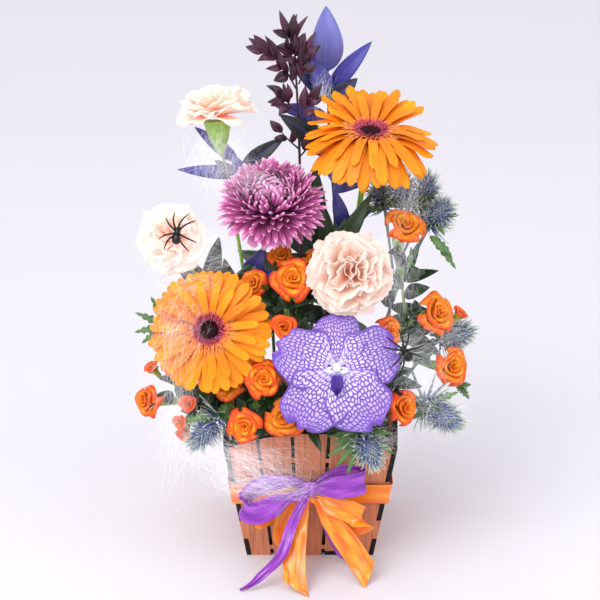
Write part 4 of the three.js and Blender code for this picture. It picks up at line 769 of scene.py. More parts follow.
ORANGE_LOOPS = [
    (9, [((-5, -76, 69), (1, 0, 0), 10), ((-10, -82, 55), (1, 0, 0.1), 17), ((-13, -92, 41), (1, 0, 0.1), 20),
          ((-14, -105, 24), (1, 0, 0.1), 20), ((-13, -117, 8), (1, 0.1, 0), 19),
          ((-12, -121, 4.5), (1, 0.1, 0), 18)]),
    (0, [((-5, -74, 68), (1, 0, 0), 9), ((-17, -77, 57), (1, 0, 0.4), 16), ((-23, -80, 40), (1, 0, 0.2), 18),
         ((-20, -78, 24), (1, 0, 0), 18), ((-12, -71, 26), (1, 0, 0), 16), ((-5, -70, 48), (1, 0, 0), 9)]),
    (0, [((-7, -73, 64), (0.3, 0, 1), 6), ((-26, -75, 50), (0.3, 0, 1), 10),
         ((-42, -78, 45), (0.3, 0, 1), 12),
         ((-46, -75, 45), (0.2, 0, 1), 12), ((-33, -71.5, 50), (0.3, 0, 1), 10),
         ((-7, -70.5, 62), (0.3, 0, 1), 6)]),
    (0, [((6, -76, 71), (0.3, 0, 1), 9), ((18, -85, 65), (0.1, 0.3, 1), 17), ((33, -93, 64), (0, 0.3, 1), 20),
         ((43, -94, 58), (-0.6, 0.2, 1), 20), ((44, -88, 48), (-0.8, 0, 0.7), 20),
         ((34, -82, 44), (-0.3, 0, 1), 18),
         ((20, -78, 53), (0.2, 0, 1), 14), ((7, -75, 65), (0.3, 0, 1), 9)]),
    (-7, [((7, -78, 66), (1, 0, 0.3), 9), ((18, -86, 51), (0.85, 0.1, 0.5), 17),
          ((30, -91, 35), (0.83, 0.2, 0.55), 20),
          ((41, -97, 20), (0.83, 0.2, 0.55), 20), ((49, -103, 10), (0.83, 0.2, 0.5), 20),
          ((51, -105, 7.5), (0.83, 0.2, 0.5), 19)]),
]
PURPLE_END = [((7, -74, 66), (1, 0, 0.2), 8), ((12, -73, 52), (1, 0, 0.3), 10),
              ((19, -72, 31), (1, 0, 0.3), 11),
              ((27, -71, 14), (1, 0, 0.3), 11), ((33, -73, 5), (1, 0, 0.3), 10)]


def stem_route(foot, points):
    """A stem's line from its foot in the foam up to its end."""
    x, y = foot
    return [Vector(p) for p in [(x, y, FOAM_TOP - 20), (x, y, FOAM_TOP - 3), (x, y, FOAM_TOP + 4), *points]]


def behind(place, toward, distance):
    """The point behind a bloom where its stem arrives."""
    return Vector(place) - Vector(toward).normalized() * distance


def cupped_branch(start, place, toward, radius, cup, back):
    """The route of a branch that ends in the green cup under a bloom."""
    return ([start, behind(place, toward, back + cup * 1.8), behind(place, toward, back + cup * 0.6),
             behind(place, toward, back)], [radius, radius * 1.05, cup * 0.8, cup], 26)


def single_stem(place, toward, foot, points, radius, cup, back):
    """A standing stem and its cup behind a bloom."""
    line = stem_route(foot, [*points, behind(place, toward, back + cup * 1.8)])
    joint = behind(place, toward, back + cup * 1.9)
    return tubes([(line, [radius * 1.05, radius * 0.95, radius], 60),
                  cupped_branch(joint, place, toward, radius, cup, back)], 3)


def forks(foot, trunk, count):
    """The points of a spray's trunk where its branches leave, one above the other."""
    line = stem_route(foot, trunk)
    return [route_point(line, 0.6 + 0.4 * (i + 0.9) / count) for i in range(count)]


# ---- petals and leaves --------------------------------------------------------------
def ray(length, width, droop):
    """A gerbera's ray: blunt, with two shallow grooves along it and a tip that droops."""
    def shape(u, v):
        taper = math.sqrt(max(0.0, 1 - 0.93 * smooth((v - 0.84) / 0.16) ** 2))
        half = width / 2 * (0.42 + 0.58 * smooth(v / 0.5)) * taper
        groove = 0.35 * math.cos(u * math.pi * 2.5) * smooth(v * 3) * (1 - v * 0.5)
        curl = 0.1 * width * (1 - u * u) * (1 - v)
        notch = 0.6 * abs(math.sin(u * 4.2)) * smooth((v - 0.9) / 0.1)
        rise = length * 0.1 * math.sin(math.pi * min(1.0, v * 1.15)) - droop * v ** 2.6
        return (length * v - notch, half * u, rise - groove - curl)
    return shape


def arc(v, bend, power=1.5):
    """Reach, height and slope at v along a line of length 1 that bends by `bend` radians."""
    steps = 10
    slopes = [bend * (v * (i + 0.5) / steps) ** power for i in range(steps)]
    return (v * sum(map(math.cos, slopes)) / steps, v * sum(map(math.sin, slopes)) / steps,
            bend * v ** power)


def quill(length, width, bend, blunt=0.75):
    """A chrysanthemum's narrow petal, rolled along its length, round at its tip and bent by
    `bend` radians."""
    def shape(u, v):
        tip = math.sqrt(max(0.0, 1 - 0.93 * (max(0.0, v - blunt) / (1 - blunt)) ** 2))
        half = width / 2 * (0.5 + 0.5 * smooth(v / 0.5)) * tip
        reach, height, slope = arc(v, bend, 1.1)
        roll = 1.25 - 0.35 * v
        lift = half * (1 - math.cos(u * roll))
        return (length * reach - math.sin(slope) * lift, half * math.sin(u * roll),
                length * height + math.cos(slope) * lift)
    return shape


def ruffled(length, width, ruffle, cup, phase):
    """A carnation's fan-shaped petal: narrow claw, broad folded limb with a finely toothed rim."""
    def shape(u, v):
        half = width / 2 * (0.12 + 0.88 * smooth(v / 0.72))
        open_part = smooth((v - 0.3) / 0.7)
        wave = ruffle * math.sin(u * 2.7 + phase) * open_part
        small = ruffle * 0.42 * math.sin(u * 9.3 + phase * 1.7) * open_part ** 3
        teeth = 0.036 * length * (abs(math.sin(u * 13 + phase)) - 0.5) * smooth((v - 0.9) / 0.1)
        reach, height, slope = arc(v, cup)
        lift = wave + small + 0.1 * width * u * u * (1 - 0.6 * v)
        reach = length * (reach - (0.15 * u * u + 0.05 * math.sin(u * 4 + phase)) * v) + teeth
        return (reach - math.sin(slope) * lift, half * math.sin(u * 1.2) / 0.932,
                length * height + math.cos(slope) * lift)
    return shape


def tepal(length, width, wave, phase):
    """A vanda's broad petal on a short claw, with a softly waved margin."""
    def shape(u, v):
        tip = math.sqrt(max(0.0, 1 - max(0.0, (v - 0.5) / 0.52) ** 2.6))
        uneven = 1 + 0.07 * math.sin(v * 10 + phase * 2 + u * 2.5) * smooth(v * 2)
        half = width / 2 * (0.22 + 0.78 * smooth(v / 0.34)) * tip * uneven
        edge = wave * abs(u) ** 1.7 * math.sin(v * 8.5 + phase + 1.5 * u) * smooth(v * 2)
        crumple = 0.7 * math.sin(u * 5 + phase) * math.sin(v * 6 + phase * 1.3)
        long = length * (1 + 0.035 * math.sin(u * 5.5 + phase) * v)
        rise = 3.4 * math.sin(math.pi * min(1.0, v * 1.1)) - 2.6 * v * v - 0.9 * math.cos(u * 2.4) * (1 - v)
        return (2 + (long - 2) * v, half * u, rise + edge + crumple * v)
    return shape


def rose_petal(s, phase, size):
    """One petal of a rose of radius `size`: s is 0 at the heart and 1 at the outermost petal.
    Its sides roll back more than its middle, which leaves the rim pointed."""
    wrap = 1.95 - 1.05 * s
    foot_radius = 0.05 + 0.1 * s
    rim_radius = 0.11 + 0.72 * s
    rim_height = 0.74 - 0.42 * s ** 1.5
    roll = 0.03 + 0.3 * s * s
    belly = 0.75 + 0.8 * (1 - s)
    point = 0.06 + 0.16 * s

    def shape(u, v):
        crest = 1 - 0.2 * abs(u) ** 2.2 + point * max(0.0, 1 - abs(u) * 2.2) * smooth(v)
        share = min(1.0, v / 0.76) * crest
        turn = u * wrap
        wavy = (0.02 + 0.05 * s) * math.sin(u * 4.2 + phase) * smooth(v)
        radius = foot_radius + (rim_radius - foot_radius) * share ** belly + 0.1 * u * (1 - s) + wavy
        height = -0.5 + (rim_height + 0.5) * math.sin(min(1.15, share) * math.pi / 2) ** (0.85 + 0.4 * s)
        if v > 0.76:
            t = (v - 0.76) / 0.24 * math.pi * (0.42 + 0.5 * abs(u))
            radius += roll * (1 - math.cos(t)) * 0.62
            height += roll * (0.55 * math.sin(t) - 0.6 * (1 - math.cos(t)))
        return (size * radius * math.cos(turn), size * radius * math.sin(turn), size * height)
    return shape


def leaf_shape(length, width, fold=0.12, arch=0.1, wave=0.0, full=0.82, teeth=0):
    """A leaf or leaflet, folded a little along its midrib and arched from foot to tip. It is
    widest nearer its foot the lower `full` is, and may have teeth down both sides."""
    def shape(u, v):
        half = width / 2 * math.sin(math.pi * v ** full) ** 0.8 if 0 < v < 1 else 0.0
        if teeth:
            half *= 0.55 + 0.75 * abs(math.sin(math.pi * teeth * v))
        half = max(half, 0.4 * (1 - v) + 0.05)
        folded = fold * width * abs(u) * math.sin(math.pi * min(v, 0.999))
        rise = length * arch * math.sin(math.pi * v) + folded
        return (length * v, half * u, rise + wave * math.sin(v * 9 + u * 2) * abs(u))
    return shape


def leaf_matrix(foot, tip, over):
    """The frame of a leaf that runs along +X from foot to tip, and its length in millimetres."""
    foot, tip = Vector(foot), Vector(tip)
    x = (tip - foot).normalized()
    y = Vector(over).cross(x).normalized()
    matrix = Matrix((x, y, x.cross(y))).transposed().to_4x4()
    matrix.translation = foot * MM
    return matrix, (tip - foot).length


def leaves_of(rows, thickness, material, across=6, along=12, **form):
    """Leaves scaled from one drawn leaf, one for each (foot, tip, width, tint, over) row."""
    drawn_long, drawn_wide = DRAWN_LEAF
    template = blade(across, along, leaf_shape(drawn_long, drawn_wide, **form), thickness * 4, material)
    placements = []
    for foot, tip, width, tint, over in rows:
        matrix, size = leaf_matrix(foot, tip, over)
        wide = width / drawn_wide
        flat = max(0.25, min(1.2, wide))
        placements.append((matrix @ Matrix.Diagonal((size / drawn_long, wide, flat, 1)), tint))
    return repeat(template, placements)


# ---- ribbons ------------------------------------------------------------------------
def ribbon(stations, thickness, samples, ripple=0.0, seed=0, closed=False, cut=0.0):
    """A satin strip along (place, way across, width) stations. Where it is narrower than its
    full width it lies in pleats, and its end may be cut on the slant. Returns the strip, its
    length and its mean width in millimetres."""
    line = [Vector(place) for place, _, _ in stations]
    ways = [Vector(way).normalized() for _, way, _ in stations]
    widths = [width for _, _, width in stations]
    if closed:
        line.append(line[0])
        ways.append(ways[0])
        widths.append(widths[0])
    full = max(widths)
    spans = [0.0]
    for a, b in zip(line, line[1:]):
        spans.append(spans[-1] + (b - a).length)
    rng = random.Random(seed)
    shift = rng.uniform(0, 6)
    frames = []
    for i in range(samples + 1):
        share = i / samples
        at = share * spans[-1]
        k = max(j for j in range(len(spans) - 1) if spans[j] <= at + 1e-6)
        t = smooth((at - spans[k]) / (spans[k + 1] - spans[k]))
        frames.append((route_point(line, share), ways[k].lerp(ways[k + 1], t).normalized(),
                       widths[k] * (1 - t) + widths[k + 1] * t))
    length = sum((b[0] - a[0]).length for a, b in zip(frames, frames[1:]))

    def shape(u, v):
        i = min(samples, round(v * samples))
        place, way, width = frames[i]
        along = (frames[min(i + 1, samples)][0] - frames[max(i - 1, 0)][0]).normalized()
        out = along.cross(way).normalized()
        side = out.cross(along).normalized()
        ends = smooth(v / 0.1) * smooth((1 - v) / 0.1)
        pleat = (1 - width / full) * 1.7 * math.cos(u * 8) if cut or ripple else 0.0
        lift = ripple * ends * math.sin(v * length * 0.16 + shift + u * 0.8) * (0.4 + 0.6 * abs(u))
        slant = along * (cut * u * smooth((v - 0.6) / 0.4))
        point = place + slant + side * (u * width / 2) + out * (lift + pleat + 0.02 * width * u * u)
        return (point.x, point.y, max(point.z, LEAST_HEIGHT))

    made = blade(16 if ripple else 8, samples, shape, thickness)
    return made, length, sum(frame[2] for frame in frames) / len(frames)


def band_stations(low, off):
    """A ribbon laid once round the basket, standing off its sides by off."""
    middle = (low + 10) * math.cos(LEAN)
    half = BASE_HALF + math.tan(LEAN) * middle + off / math.cos(LEAN)
    round_off = 0.6 + off

    def corner_point(corner, turn):
        centre = (corner + 0.5) * math.pi / 2
        x, y = [math.sqrt(2) * (half - round_off) * part(centre) + round_off * part(turn)
                for part in (math.cos, math.sin)]
        return Vector((x, y, middle))

    stations = []
    for corner in range(4):
        for i in range(7):
            turn = (corner + i / 6) * math.pi / 2
            lean = math.tan(LEAN) / max(abs(math.cos(turn)), abs(math.sin(turn)))
            stations.append((corner_point(corner, turn), (lean * math.cos(turn), lean * math.sin(turn), 1)))
        end, way = stations[-1]
        following = corner_point(corner + 1, turn)
        stations += [(end.lerp(following, share), way) for share in (0.04, 0.25, 0.5, 0.75, 0.96)]
    return stations


# ---- operators ----------------------------------------------------------------------
def settings(context, group):
    return getattr(context.scene, "flower_basket_" + group)


class BuildBasket(bpy.types.Operator):
    """Gives the panels, floor, liner and foam of the frame their materials"""
    bl_idname = "flower_basket.basket"
    bl_label = "Basket"

    def execute(self, context):
        look = settings(context, "basket")
        tilt, level = math.cos(LEAN), math.sin(LEAN)
        sides = {"front": ("X", (0, -tilt, -level)), "back": ("X", (0, tilt, -level)),
                 "right": ("Y", (tilt, 0, -level)), "left": ("Y", (-tilt, 0, -level))}
        for side, (across, normal) in sides.items():
            paint(frame["nodes"]["panel_" + side], plywood(look, "sapele_ply_" + side, across, normal))
        paint(frame["nodes"]["floor"], plywood(look, "sapele_ply_floor", "X", (0, 0, 1)))
        paint(frame["nodes"]["liner"], plastic_film())
        paint(frame["nodes"]["foam"], wet_foam(look))
        return {"FINISHED"}


class BuildBands(bpy.types.Operator):
    """Lays the two satin ribbons round the basket"""
    bl_idname = "flower_basket.bands"
    bl_label = "Ribbon bands"

    def execute(self, context):
        look = settings(context, "ribbons")
        for code, low, off, tails in [("purple", 58, 1.2, [PURPLE_END]), ("orange", 59, 2.5, [])]:
            material = satin("polyester_satin_" + code, getattr(look, code))
            stations = [(place, way, look.width / MM) for place, way in band_stations(low, off)]
            strips = [ribbon(stations, look.thickness, samples=260, closed=True)]
            strips += [ribbon(tail, look.thickness, samples=60, ripple=0.5, seed=5, cut=5) for tail in tails]
            finish_sheet(strips, material, "ribbon_" + code + "_band")
        return {"FINISHED"}


class BuildBows(bpy.types.Operator):
    """Ties the purple bow with its loops and tails, and the orange one below it"""
    bl_idname = "flower_basket.bows"
    bl_label = "Bows"

    def execute(self, context):
        look = settings(context, "ribbons")
        for code, strands, knot, seed in [
                ("purple", PURPLE_LOOPS, ((-1, -76.5, 77), (6, 4.5, 7)), 20),
                ("orange", ORANGE_LOOPS, ((0, -74, 66), (9, 2.6, 4.5)), 40)]:
            strips = [ribbon(stations, look.thickness, samples=84, ripple=1.3, seed=seed + i, cut=cut)
                      for i, (cut, stations) in enumerate(strands)]
            strips.append(self.knot(knot, look.thickness))
            finish_sheet(strips, bpy.data.materials["polyester_satin_" + code], "bow_" + code)
        return {"FINISHED"}

    def knot(self, knot, thickness):
        """The short turn of ribbon that holds a bow, pinched at both ends."""
        (x, y, z), (wide, deep, high) = knot
        stations = []
        for i in range(13):
            turn = i / 12 * math.tau + 0.6
            stations.append((
                (x + 0.6 * math.sin(turn * 2), y + deep * math.cos(turn), z + high * math.sin(turn)),
                (1, 0.15 * math.sin(turn), 0.12), wide * (1.7 + 0.2 * math.sin(turn))))
        return ribbon(stations, thickness, samples=48, ripple=0.8, seed=9)


class BuildGerberas(bpy.types.Operator):
    """Models the two gerberas: two full rings of rays and a short one, and the florets of the eye"""
    bl_idname = "flower_basket.gerberas"
    bl_label = "Gerberas"

    def execute(self, context):
        look = settings(context, "blooms")
        green = green_stem("gerbera_stem_skin", settings(context, "foliage").stem)
        tissue = petal_tissue("gerbera_ray_tissue", [
            (0.0, look.gerbera_foot), (0.35, scaled(look.gerbera, 0.85)), (0.7, look.gerbera),
            (0.97, scaled(look.gerbera, 1.25))],
            ribs=9, rib_depth=0.0005, roughness=0.45, glow=0.15, streak=0.5)
        florets = petal_tissue("gerbera_floret_tissue", [
            (0.0, linear("#8c1a30")), (0.35, linear("#d8451f")), (0.65, linear("#ee7a38")),
            (1.0, linear("#ffbe78"))], ribs=3, rib_depth=0.0002)
        pink = petal_tissue("gerbera_inner_floret_tissue", [
            (0.0, linear("#3a0a18")), (0.5, linear("#a52445")), (1.0, linear("#e0708a"))],
            ribs=3, rib_depth=0.0002)
        dark = petal_tissue("gerbera_disc_tissue", [
            (0.0, linear("#0c0306")), (0.6, linear("#26060f")), (1.0, linear("#4c1024"))],
            ribs=2, rib_depth=0.0002)
        for index, (name, place, toward, radius, droop, foot, points) in enumerate(GERBERAS):
            rng = random.Random(100 + index)
            k = radius / DRAWN_GERBERA
            matrix = facing(place, toward)
            parts = []
            rings = [(look.gerbera_rays, 0.0, 0.6, 1.0, 0.0), (look.gerbera_rays, 0.5, -1.3, 0.985, -0.05),
                     (15, 0.25, 2.4, 0.76, 0.14)]
            spots = {key: [] for key in ("front", "side", "rear")}
            for count, offset, height, size, tilt in rings:
                for i in range(count):
                    turn = (i + offset + rng.uniform(-0.16, 0.16)) / count * math.tau
                    up = math.sin(turn)
                    key = "rear" if up > EDGE_ON else "front" if up < -EDGE_ON else "side"
                    lift = tilt + rng.uniform(-0.09, 0.09) + (0.22 if key == "rear" else 0.0)
                    spots[key].append((at_ring(
                        turn, 7.5 * k, height + rng.uniform(-0.4, 0.4), lift, rng.uniform(-0.2, 0.2),
                        size * rng.uniform(0.95, 1.01)), rng.random()))
            for key, share, wide in [("front", 1.6, 10.4), ("side", 0.5, 9.8), ("rear", -0.4, 9.8)]:
                petal = blade(8, 16, ray(48 * k, wide * k, droop * share), look.petal_thickness, tissue)
                parts.append(repeat(petal, spots[key]))
            parts.append(frustum(sides=32, low=5, high=9.5 * k, depth=8.6, middle=-1.6, material=green))
            finish_piece(parts, name + "_petals", [name + "_rays"], matrix)
            eye = []
            for count, reach, height, tilt, width, long, material in [
                    (84, 13.0, 2.8, 0.24, 1.3, 11.5, florets), (80, 12.8, 3.6, 0.42, 1.3, 9.5, florets),
                    (70, 12.4, 4.2, 0.7, 1.2, 7.0, florets), (60, 11.0, 4.2, 0.8, 1.2, 5.8, pink),
                    (54, 9.6, 4.0, 1.0, 1.2, 4.8, pink), (44, 8.4, 3.6, 1.15, 1.1, 4.0, pink)]:
                petal = blade(3, 6, leaf_shape(long * k, width * k, fold=0.2, arch=0.16), 0.3 * MM, material)
                eye.append(repeat(petal, [
                    (at_ring((i + rng.random() * 0.6) / count * math.tau, reach * k,
                             height + rng.uniform(-0.5, 0.6), tilt + rng.uniform(-0.16, 0.16),
                             rng.uniform(-0.5, 0.5), rng.uniform(0.85, 1.1)), rng.random())
                    for i in range(count)]))
            bead = ball(6, 5, dark, lambda x, y, z: (0.42 * x, 0.42 * y, 0.882 * z))
            spots = []
            beads = 230
            for i in range(beads):
                reach = 8.6 * k * math.sqrt((i + 0.5) / beads)
                spots.append((Matrix.Rotation(i * GOLDEN_TURN, 4, "Z") @ Matrix.Translation(
                    Vector((reach, 0, 3.2 + 0.2 * reach + rng.uniform(-0.2, 0.3))) * MM)
                    @ Matrix.Rotation(0.08 * reach, 4, "Y"), rng.random()))
            eye.append(repeat(bead, spots))
            eye.append(frustum(sides=40, low=12.5 * k, high=12.5 * k, depth=2.4, middle=2.6, material=dark))
            finish_piece(eye, name + "_florets", [name + "_eye"], matrix)
            stalk = single_stem(place, toward, foot, points, radius=2.4, cup=5, back=GERBERA_SEAT + STEM_CUP)
            finish_stalk(name, stalk, green)
        return {"FINISHED"}


class BuildChrysanthemum(bpy.types.Operator):
    """Models the mauve chrysanthemum: a dome of incurved quills with long drooping ones below"""
    bl_idname = "flower_basket.chrysanthemum"
    bl_label = "Chrysanthemum"

    def execute(self, context):
        look = settings(context, "blooms")
        rng = random.Random(7)
        name, place, toward, radius, foot, points = CHRYSANTHEMUM
        # The quills' feet are painted a deep shade of their body colour: painted shade in the gaps between
        # the crowded quills.
        tissue = petal_tissue("chrysanthemum_quill_tissue", [
            (0.0, scaled(look.chrysanthemum, 0.22)), (0.4, scaled(look.chrysanthemum, 0.62)),
            (0.8, look.chrysanthemum), (1.0, look.chrysanthemum_tip)],
            ribs=5, rib_depth=0.0003, roughness=0.45, glow=0.1, streak=0.4)
        # Bands of quills: the angles from the pole that they cover, bend, length and width.
        bands = [(0, 16, 1.2, 19, 4.0), (16, 30, 1.4, 24, 4.4), (30, 44, 1.3, 27, 4.9),
                 (44, 58, 1.1, 27, 5.1), (58, 72, 0.85, 28, 5.2), (72, 86, 0.55, 29, 5.4),
                 (86, 97, 0.1, 29, 5.6), (97, 116, -0.5, 29, 6.0)]
        total = 460
        places = {band: [] for band in bands}
        for i in range(total):
            polar = math.degrees(math.acos(1 - (i + 0.5) / total * 1.3))
            band = next((band for band in bands if band[0] <= polar < band[1]), None)
            if band:
                places[band].append((i, polar))
        parts = []
        for (low, _, bend, long, width), members in places.items():
            for variant in range(2):
                shape = quill(long, width * (0.86 - 0.12 * variant), bend * (0.8 + 0.5 * variant))
                petal = blade(4, 8, shape, look.petal_thickness, tissue)
                spots = []
                for i, polar in members[variant::2]:
                    away = math.radians(polar)
                    sunk = rng.uniform(0.36, 0.44) * radius
                    spots.append((at_ring(
                        i * GOLDEN_TURN + rng.uniform(-0.12, 0.12), sunk * math.sin(away),
                        sunk * math.cos(away) - 7, math.pi / 2 - away + rng.uniform(-0.16, 0.16),
                        rng.uniform(-0.5, 0.5), rng.uniform(0.84, 1.08)), rng.random()))
                parts.append(repeat(petal, spots))
        for long, bend, turns in [(37, -1.0, (4.2, 4.62, 5.2)), (33, -1.7, (3.7, 4.4, 4.9, 5.6, 6.1, 2.9))]:
            petal = blade(5, 14, quill(long, 6.4, bend, blunt=0.86), look.petal_thickness, tissue)
            parts.append(repeat(petal, [
                (at_ring(turn, 10, -8, -0.15 + rng.uniform(-0.2, 0.1), rng.uniform(-0.5, 0.5)),
                 rng.uniform(0.6, 1)) for turn in turns]))
        # A dark ball fills the middle of the bloom: painted shade seen through the gaps between the quills.
        core = 0.42 * radius
        heart = ball(24, 16, tissue, lambda x, y, z: (core * x, core * y, core * z - 7))
        for spot in heart.data.uv_layers[0].data:
            spot.uv = (0.5, 0.1)  # the shaded colour of the quills' feet all over
        parts.append(heart)
        green = green_stem("chrysanthemum_stem_skin", settings(context, "foliage").stem)
        parts.append(frustum(sides=32, low=6, high=13, depth=14, middle=-17, material=green))
        at = Matrix.Translation(Vector(place) * MM)
        flatter = at @ Matrix.Scale(0.87, 4, Vector((0, 0.36, 0.93))) @ at.inverted()
        finish_piece(parts, name + "_bloom", [name], flatter @ facing(place, toward))
        stalk = single_stem(place, toward, foot, points, radius=2.2, cup=5,
                            back=CHRYSANTHEMUM_SEAT + STEM_CUP)
        finish_stalk(name, stalk, green)
        return {"FINISHED"}


class BuildCarnations(bpy.types.Operator):
    """Models the three blush carnations and their green calyces"""
    bl_idname = "flower_basket.carnations"
    bl_label = "Carnations"

    def execute(self, context):
        look = settings(context, "blooms")
        green = green_stem("carnation_stem_skin", settings(context, "foliage").stem)
        tissue = petal_tissue("carnation_limb_tissue", [
            (0.0, look.carnation_heart), (0.45, look.carnation_heart), (0.7, linear("#f3c4b0")),
            (0.88, look.carnation), (1.0, linear("#f8dfd3"))],
            ribs=7, rib_depth=0.0003, roughness=0.65, glow=0.15,
            shift=0.28, lit=0.1)
        for index, (name, place, toward, radius, foot, points) in enumerate(CARNATIONS):
            pale = 0.1 if name == "carnation_middle" else 0.65  # the middle one is the pinkest
            rng = random.Random(300 + index)
            parts = []
            for count, tilt, long, wide, ruffle, cup in [
                    (7, 14, 1.03, 1.2, 0.08, -0.35), (6, 26, 1.0, 1.15, 0.11, -0.3),
                    (5, 38, 0.98, 1.05, 0.13, -0.2), (5, 50, 0.94, 0.95, 0.14, -0.15),
                    (5, 62, 0.9, 0.8, 0.14, -0.05), (5, 76, 0.84, 0.7, 0.13, 0.05)]:
                for variant in range(2):
                    shape = ruffled(radius * long, radius * wide, radius * ruffle, cup,
                                    1.3 + variant * 2.1 + tilt)
                    petal = blade(26, 12, shape, look.petal_thickness, tissue)
                    spots = []
                    for i in range(variant, count, 2):
                        turn = (i + rng.uniform(-0.3, 0.3)) / count * math.tau + tilt
                        lift = math.radians(tilt + rng.uniform(-5, 5))
                        spots.append((at_ring(turn, 0.5, -0.08 * radius, lift, rng.uniform(-0.3, 0.3),
                                              rng.uniform(0.9, 1.03)), pale + 0.35 * rng.random()))
                    parts.append(repeat(petal, spots))
            finish_piece(parts, name + "_bloom", [name], facing(place, toward))
            seat = radius * CARNATION_SEAT
            line = stem_route(foot, [*points, behind(place, toward, seat + 20)])
            calyx = [behind(place, toward, seat + below) for below in (25, 22, 12, 1, -5)]
            finish_stalk(name, tubes([(line, [1.7, 1.5, 1.6], 60),
                                      (calyx, [1.8, 5.4, 8.4, 10.6, 12.0], 30)], 5), green)
        return {"FINISHED"}


class BuildOrchid(bpy.types.Operator):
    """Models the vanda orchid: five netted tepals, the lip and the column"""
    bl_idname = "flower_basket.orchid"
    bl_label = "Orchid"

    def execute(self, context):
        look = settings(context, "blooms")
        netted = netted_petal(look)
        lip_tissue = petal_tissue("vanda_lip_tissue", [
            (0.0, linear("#f4f0ff")), (0.22, linear("#43218f")), (1.0, linear("#2a1260"))],
            ribs=4, rib_depth=0.0003, roughness=0.35)
        white = petal_tissue("vanda_column_tissue", [
            (0.0, linear("#e9e4f6")), (1.0, linear("#ffffff"))], ribs=2, rib_depth=0.0001)
        place, toward, foot, points = ORCHID
        parts = []
        for index, (degrees, long, width) in enumerate(ORCHID_TEPALS):
            lower = degrees < 0
            petal = blade(26, 26, tepal(long, width * 1.15, 3.0, index * 1.7), 0.7 * MM, netted)
            height = 1.8 if lower else -1.6 if degrees == 90 else 0.4
            parts.append(repeat(petal, [(at_ring(math.radians(degrees), 0, height, 0), 0.35 + 0.1 * index)]))
        lip = blade(10, 18, self.lip, 0.8 * MM, lip_tissue)
        parts.append(repeat(lip, [(Matrix.Rotation(-math.pi / 2, 4, "Z"), 0.5)]))
        for long, wide, degrees, height, tissue in [
                (8, 5.5, -8, 2.2, white), (6.5, 2.6, 38, 2.6, lip_tissue)]:
            ear = blade(6, 8, leaf_shape(long, wide, fold=0.4, arch=0.2), 0.8 * MM, tissue)
            parts.append(repeat(ear, [
                (Matrix.Translation(Vector((side * 2.5, 0, height)) * MM)
                 @ at_ring(math.radians(90 - side * (90 - degrees)), 0, 0, 0.35), 0.9) for side in (-1, 1)]))
        parts.append(ball(24, 14, white, lambda x, y, z: (
            3.6 * x, 3.4 * y * (1 + 0.25 * max(0.0, z)) + 1.6, 5.6 * z + 4.2)))
        finish_piece(parts, "orchid_bloom", ["orchid"], facing(place, toward))
        green = green_stem("orchid_stem_skin", settings(context, "foliage").stem)
        line = stem_route(foot, [*points, behind(place, toward, 4)])
        finish_stalk("orchid", tubes([(line, [1.9, 1.7, 1.8], 60)], 3), green)
        return {"FINISHED"}

    def lip(self, u, v):
        """The lip: a narrow claw that opens into a keeled, down-curved tongue."""
        half = 1.8 + 3.4 * math.sin(math.pi * min(1.0, v * 0.95 + 0.04)) ** 1.4
        half *= 1 - 0.55 * smooth((v - 0.8) / 0.2)
        rise = 2 + 8.6 * math.sin(math.pi * 0.62 * v) - 1.5 * v * v
        keel = 2.2 * abs(u) ** 1.6 * (1 - v * 0.5) - 0.6 * math.cos(u * 6) * smooth(v * 4)
        return (1 + 20 * v, half * u, rise + keel)


